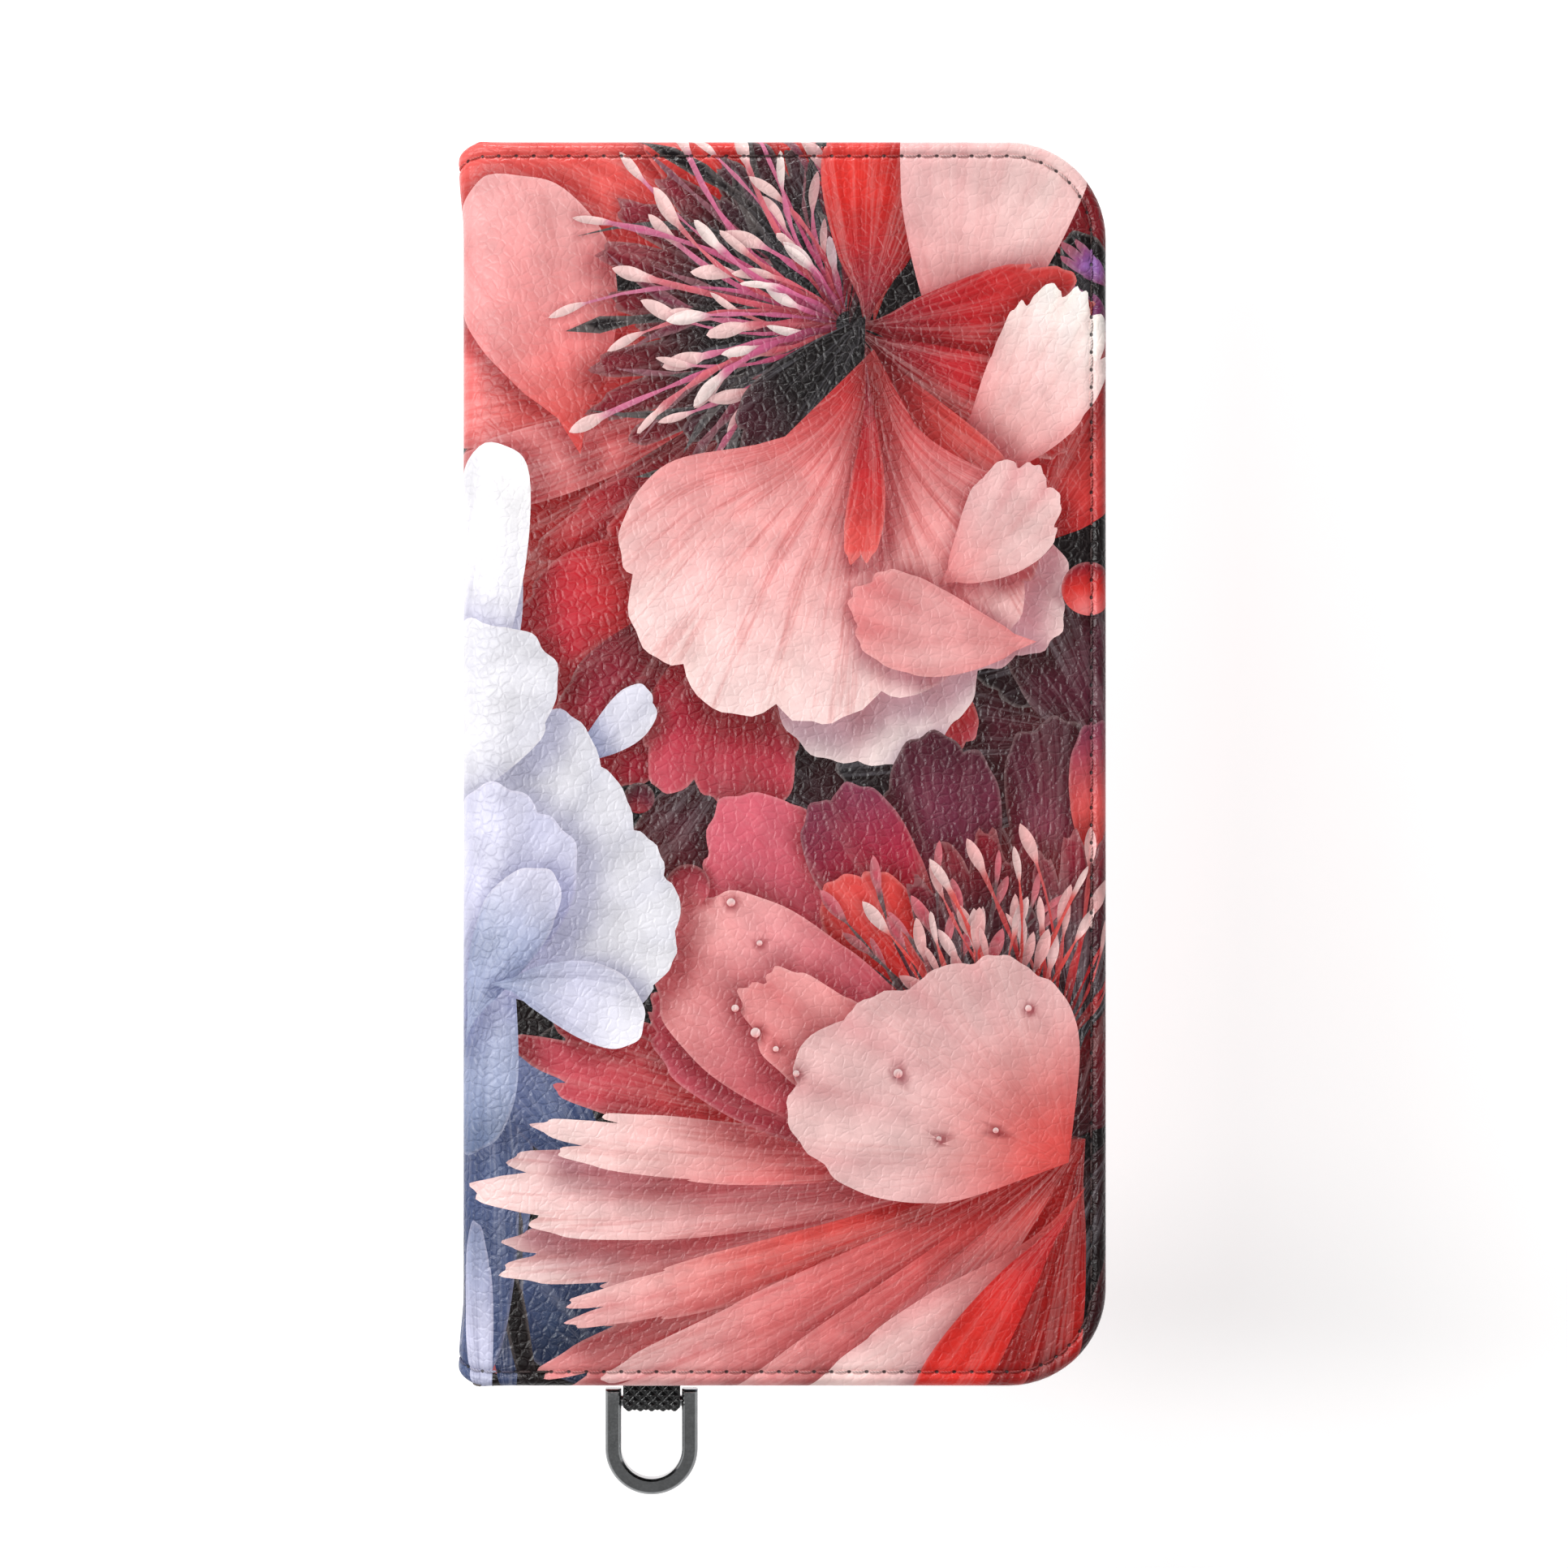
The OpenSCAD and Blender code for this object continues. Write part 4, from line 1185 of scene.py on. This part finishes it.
def make_stitches(flat, faces, colour):
    """Lock stitches round the sheet's edge, outside in the print's colours and dark on the lining."""
    centres = flat[faces].mean(axis=1)
    tones = colour.mean(axis=1)
    length, gap = PITCH - 0.42, 0.02
    starts = np.arange(STITCHES) * PITCH
    middle, _ = stitch_points(starts)
    step, wide, high = stitch_section(9, 0.16, 0.05)
    high = high - 0.2 * np.abs(step[:, None]) ** 3
    for outside in (True, False):
        for front in (True, False):
            chosen = np.nonzero((middle[:, 0] > SPINE_MID) == front)[0]
            points, quads, tints, twist = [], [], [], []
            for k in chosen:
                s = starts[k] + step * length / 2
                place, outward = stitch_points(s % SEAM_LENGTH)
                tone = tones[np.argmin(((centres - middle[k]) ** 2).sum(axis=1))]
                quads += tube_faces(len(step), THREAD_SIDES, len(points) * high.size)
                points.append((place[:, None] + wide[:, :, None] * outward[:, None]).reshape(-1, 2))
                twist.append(thread_places(s))
                tints += [tone * 0.74 + PALETTE["shell"] * 0.05] * high.size
            points = np.vstack(points)
            height = np.tile(high.ravel(), len(chosen)) - gap
            if outside:
                height = height + groove(edge_distance(points)[2]) - 0.12
            places = lay_out(points, lining=not outside)
            shift = lay_out(points, lining=not outside, lift=1.0) - places
            places = places + shift * height[:, None]
            name = ("stitches" if outside else "lining_stitches") + ("_front" if front else "_back")
            mesh = mesh_of(name, places, quads)
            set_attribute(mesh, "thread_place", "FLOAT_VECTOR", "POINT", np.vstack(twist))
            tints = np.column_stack([np.array(tints), np.ones(len(tints))])
            set_attribute(mesh, "thread_colour", "FLOAT_COLOR", "POINT", tints)
            fix_normals(mesh)
            piece = new_object(name, mesh, PRINT_THREAD if outside else DARK_THREAD)
            bend_over_fold(piece, front)
            if outside:
                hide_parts(*(["front_thread", "spine_thread"] if front else ["back_thread"]))


# ---- pocket panels ----


PANEL_R = CORNER_R - 3.2


def panel_outline(low, high, radii, inset, turns=8):
    """Anticlockwise round a box from its lower right corner. Each corner has its own radius."""
    corners = [(high[0], low[1], 1, -1, 3), (high[0], high[1], 1, 1, 0), (low[0], high[1], -1, 1, 1),
               (low[0], low[1], -1, -1, 2)]
    points = []
    for (cx, cy, sx, sy, quarter), r in zip(corners, radii):
        bend_r = max(r - inset, 0.05)
        mx = cx - sx * (inset + bend_r)
        my = cy - sy * (inset + bend_r)
        for i in range(turns + 1):
            a = (quarter + i / turns) * math.pi / 2
            points.append((mx + bend_r * math.cos(a), my + bend_r * math.sin(a)))
    return np.array(points)


def make_panel(name, node, top_right):
    """A pocket panel with soft rounded edges, a pressed line inside its border and a slight swell."""
    low, high = node_box(node)
    radii = (PANEL_R, top_right, 0.6, 0.6)
    face, back = low[2], high[2]
    levels = [(0.22, back), (0.06, back - 0.1), (0.0, (face + back) / 2), (0.05, face + 0.14),
              (0.16, face + 0.04), (0.3, face), (1.05, face - 0.03), (1.18, face + 0.05),
              (1.3, face + 0.09), (1.42, face + 0.05), (1.55, face - 0.03), (4.0, face - 0.05),
              (9.0, face - 0.07)]
    loops = [panel_outline(low, high, radii, inset) for inset, _ in levels]
    count = len(loops[0])
    verts = np.vstack([np.column_stack([loop, np.full(count, z)]) for loop, (_, z) in zip(loops, levels)])
    faces = tube_faces(len(levels), count)
    mesh = mesh_of(name, verts, faces)
    fix_normals(mesh)
    piece = new_object(name, mesh, POCKET)
    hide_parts(node)
    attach(piece, "front")


def make_pockets():
    """The cash pocket, the three card slots over it and the stitches that hold them."""
    make_panel("cash_pocket_panel", "cash_pocket", PANEL_R)
    for level in ("upper", "middle", "lower"):
        make_panel(f"card_slot_panel_{level}", f"card_slot_{level}", 0.6)
    low, high = node_box("pocket_thread")
    inset, pitch = 0.3, 2.0
    path = panel_outline(low, high, (PANEL_R - 1.5, 0.3, 0.3, 0.6), inset, turns=12)
    path = np.roll(path, -int(np.argmax(path[:, 1] + path[:, 0] * 0.001)), axis=0)
    lengths = np.concatenate([[0], np.cumsum(np.linalg.norm(np.diff(path, axis=0), axis=1))])
    step, wide, rise = stitch_section(7, 0.17, 0.17 * math.sqrt(0.05))
    rise = low[2] - 0.06 + rise + 0.16 * np.abs(step[:, None]) ** 3
    verts, faces, twist = [], [], []
    for k in range(int(lengths[-1] / pitch)):
        s = (k + 0.5) * pitch + step * (pitch - 0.45) / 2
        line = np.column_stack([np.interp(s, lengths, path[:, 0]), np.interp(s, lengths, path[:, 1])])
        if line[:, 1].mean() > high[1] - 1.2:
            continue  # the pockets' open top edge
        along = line[-1] - line[0]
        across = np.array([-along[1], along[0]]) / np.linalg.norm(along)
        faces += tube_faces(len(step), THREAD_SIDES, len(verts))
        points = line[:, None] + wide[:, :, None] * across
        verts += list(np.dstack([points, rise]).reshape(-1, 3))
        twist += list(thread_places(s))
    mesh = mesh_of("pocket_stitches", verts, faces)
    set_attribute(mesh, "thread_place", "FLOAT_VECTOR", "POINT", np.array(twist))
    fix_normals(mesh)
    piece = new_object("pocket_stitches", mesh, DARK_THREAD)
    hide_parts("pocket_thread")
    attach(piece, "front")


# ---- strap and ring ----


def make_strap():
    """The strap, folded round the pin, with a pressed pattern of small diamonds."""
    low, high = node_box("ring_tab")
    pin_low, pin_high = node_box("ring_pin")
    pin_y, pin_z = (pin_low[1] + pin_high[1]) / 2, (pin_low[2] + pin_high[2]) / 2
    outer = pin_z - low[2] - 0.02
    inner = outer - 0.56
    half_w = (high[0] - low[0]) / 2
    mid_x = (high[0] + low[0]) / 2
    straight = high[1] - pin_y
    length = 2 * straight + math.pi * outer
    rows = int(length / 0.11)
    columns = 64
    pitch_x, pitch_s = 2 * half_w / 5, 1.35
    verts = []

    def place(s, x, level):
        """level 1 is the strap's outer face, and 0 its inner one."""
        r = inner + (outer - inner) * level
        if s < straight:
            return (mid_x + x, high[1] - s, pin_z + r)
        if s < straight + math.pi * outer:
            a = (s - straight) / outer
            return (mid_x + x, pin_y - r * math.sin(a), pin_z + r * math.cos(a))
        return (mid_x + x, pin_y + (s - straight - math.pi * outer), pin_z - r)

    for level in (1, 0):
        for i in range(rows + 1):
            s = length * i / rows
            for j in range(columns + 1):
                q = 2 * j / columns - 1
                x = half_w * math.sin(q * math.pi / 2) * 0.35 + half_w * q * 0.65
                edge = min(1.0, (half_w - abs(x)) / 0.35)
                soften = 1 - math.sqrt(max(0.0, 1 - (1 - edge) ** 2))
                lift = 1 - 0.25 * soften if level else 0.25 * soften
                if level:
                    u, v = x / pitch_x, s / pitch_s
                    a = abs((u + v) % 1 - 0.5) * 2
                    b = abs((u - v) % 1 - 0.5) * 2
                    stud = max(0.0, 1 - max(a, b))
                    lift += 0.7 * (min(1.0, 1.25 * stud) * edge - 1)
                verts.append(place(s, x, lift))
    width = columns + 1
    sheet = (rows + 1) * width
    faces = []
    for i in range(rows):
        for j in range(columns):
            a = i * width + j
            faces.append((a, a + 1, a + width + 1, a + width))
            faces.append(tuple(sheet + k for k in (a + width, a + width + 1, a + 1, a)))
        for j in (0, columns):
            a = i * width + j
            faces.append((a, a + width, sheet + a + width, sheet + a))
    for i in (0, rows):
        for j in range(columns):
            a = i * width + j
            faces.append((a, a + 1, sheet + a + 1, sheet + a))
    mesh = mesh_of("strap_loop", verts, faces)
    fix_normals(mesh)
    piece = new_object("strap_loop", mesh, STRAP)
    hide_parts("ring_tab")
    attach(piece, "back")


def make_ring():
    """The ring: one bar with chamfered edges, bent to a D, with rounded leg ends."""
    low, high = node_box("strap_ring")
    pin_low, pin_high = node_box("ring_pin")
    pin_y = (pin_low[1] + pin_high[1]) / 2
    mid_x, mid_z = (low[0] + high[0]) / 2, (low[2] + high[2]) / 2
    half_t = (high[2] - low[2]) / 2
    leg = 2.0
    bow_r = (high[0] - low[0]) / 2 - leg / 2
    bow_y = low[1] + leg / 2 + bow_r
    leg_length = high[1] - bow_y
    total = 2 * leg_length + math.pi * bow_r
    end_r = 0.5
    stations = [end_r * (1 - math.cos(a)) for a in np.linspace(0.12, math.pi / 2, 9)]
    stations += list(np.linspace(end_r, leg_length, 8)[1:])
    stations += [leg_length + math.pi * bow_r * i / 48 for i in range(1, 49)]
    stations += [total - s for s in stations[15:0:-1] if s < leg_length] + [total - stations[0]]
    section = [(1, 0.0), (1, 0.62), (1, 0.69), (0.94, 0.78), (0.72, 0.95), (0.66, 1.0), (0.5, 1.0),
               (0.0, 1.0)]
    section += [(-a, b) for a, b in section[-2::-1]]
    section += [(a, -b) for a, b in section[-2:0:-1]]
    verts = []
    for s in stations:
        from_end = min(s, total - s)
        rounding = end_r * (1 - math.sqrt(max(0.0, 1 - (1 - min(from_end / end_r, 1)) ** 2)))
        if s < leg_length:
            centre, side = (mid_x - bow_r, high[1] - s), (-1, 0)
        elif s > total - leg_length:
            centre, side = (mid_x + bow_r, high[1] - (total - s)), (1, 0)
        else:
            a = math.pi + (s - leg_length) / bow_r
            side = (math.cos(a), math.sin(a))
            centre = (mid_x + bow_r * side[0], bow_y + bow_r * side[1])
        for across, up in section:
            out = across * leg / 2
            verts.append((centre[0] + side[0] * out, centre[1] + side[1] * out,
                          mid_z + up * (half_t - rounding)))
    faces = tube_faces(len(stations), len(section))
    mesh = mesh_of("d_ring", verts, faces)
    fix_normals(mesh)
    mesh.set_sharp_from_angle(angle=math.radians(32))
    piece = new_object("d_ring", mesh, GUNMETAL)
    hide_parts("strap_ring")
    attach(piece, "ring")


# ---- CAD nodes that stay ----


def finish_node(node, material, bevel=0.0):
    """Gives a CAD node its material, and softens its edges."""
    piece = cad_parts[node]
    piece.data.materials.clear()
    piece.data.materials.append(material)
    if bevel:
        edge = piece.modifiers.new("edges", "BEVEL")
        edge.width = bevel * MM
        edge.segments = 2
        edge.limit_method = "ANGLE"


flat, faces, colour = make_wrap()
make_stitches(flat, faces, colour)
make_lining()
make_pockets()
make_strap()
make_ring()
finish_node("phone_tray", TRAY, 0.15)
finish_node("adhesive_pad", FOAM)
finish_node("tray_magnets", NICKEL, 0.1)
finish_node("front_magnets", NICKEL)
finish_node("front_board", BOARD)
finish_node("back_board", BOARD)
finish_node("ring_pin", GUNMETAL, 0.1)

# ---- studio ----


FLOOR_Z = -105.0  # below the lowest place that the open cover swings through


def make_floor():
    """A white table that glows a little, so that nothing casts a hard shadow on it."""
    corners = [(-900, -900, FLOOR_Z), (900, -900, FLOOR_Z), (900, 900, FLOOR_Z), (-900, 900, FLOOR_Z)]
    mesh = mesh_of("floor", corners, [(0, 1, 2, 3)], smooth_faces=False)
    n = Nodes("floor_white", (0.93, 0.93, 0.93), 0.7, specular=0.1)
    n.set("Emission Color", (1, 1, 1, 1))
    n.set("Emission Strength", 0.4)
    new_object("floor", mesh, n.material)


def area_light(name, place, target, size, power):
    light = bpy.data.lights.new(name, "AREA")
    light.shape = "RECTANGLE"
    light.size, light.size_y = size[0] * MM, size[1] * MM
    light.energy = power
    lamp = bpy.data.objects.new(name, light)
    lamp.location = Vector(place) * MM
    lamp.rotation_euler = (Vector(target) - Vector(place)).to_track_quat("-Z", "Y").to_euler()
    bpy.context.scene.collection.objects.link(lamp)


def make_sky():
    """Soft light from all round, brighter towards the horizon."""
    world = bpy.data.worlds.new("studio")
    world.use_nodes = True
    nodes, links = world.node_tree.nodes, world.node_tree.links
    place = nodes.new("ShaderNodeTexCoord")
    split = nodes.new("ShaderNodeSeparateXYZ")
    fade = nodes.new("ShaderNodeMapRange")
    fade.interpolation_type = "SMOOTHSTEP"
    for name, value in (("From Min", 0.0), ("From Max", 0.8), ("To Min", 0.66), ("To Max", 0.2)):
        fade.inputs[name].default_value = value
    links.new(place.outputs["Generated"], split.inputs[0])
    links.new(split.outputs["Z"], fade.inputs["Value"])
    links.new(fade.outputs["Result"], nodes["Background"].inputs["Strength"])
    nodes["Background"].inputs["Color"].default_value = (1, 1, 1, 1)
    bpy.context.scene.world = world


def make_studio():
    make_floor()
    area_light("softbox", (-395, 30, 620), (-34, 0, 17), (120, 560), 3.35)
    area_light("grain_light", (-160, 640, 360), (0, 0, 17), (260, 120), 3.2)
    make_sky()
    bpy.context.scene.view_settings.view_transform = "Standard"


def make_camera():
    """Straight down over the closed case, far enough for a long lens."""
    lens = bpy.data.cameras.new("camera")
    lens.lens, lens.sensor_width = 85, 36
    lens.clip_start, lens.clip_end = 0.01, 10
    camera = bpy.data.objects.new("camera", lens)
    camera.location = Vector((0, -2.466, CASE_T + 454.5)) * MM
    bpy.context.scene.collection.objects.link(camera)
    bpy.context.scene.camera = camera


make_studio()
make_camera()
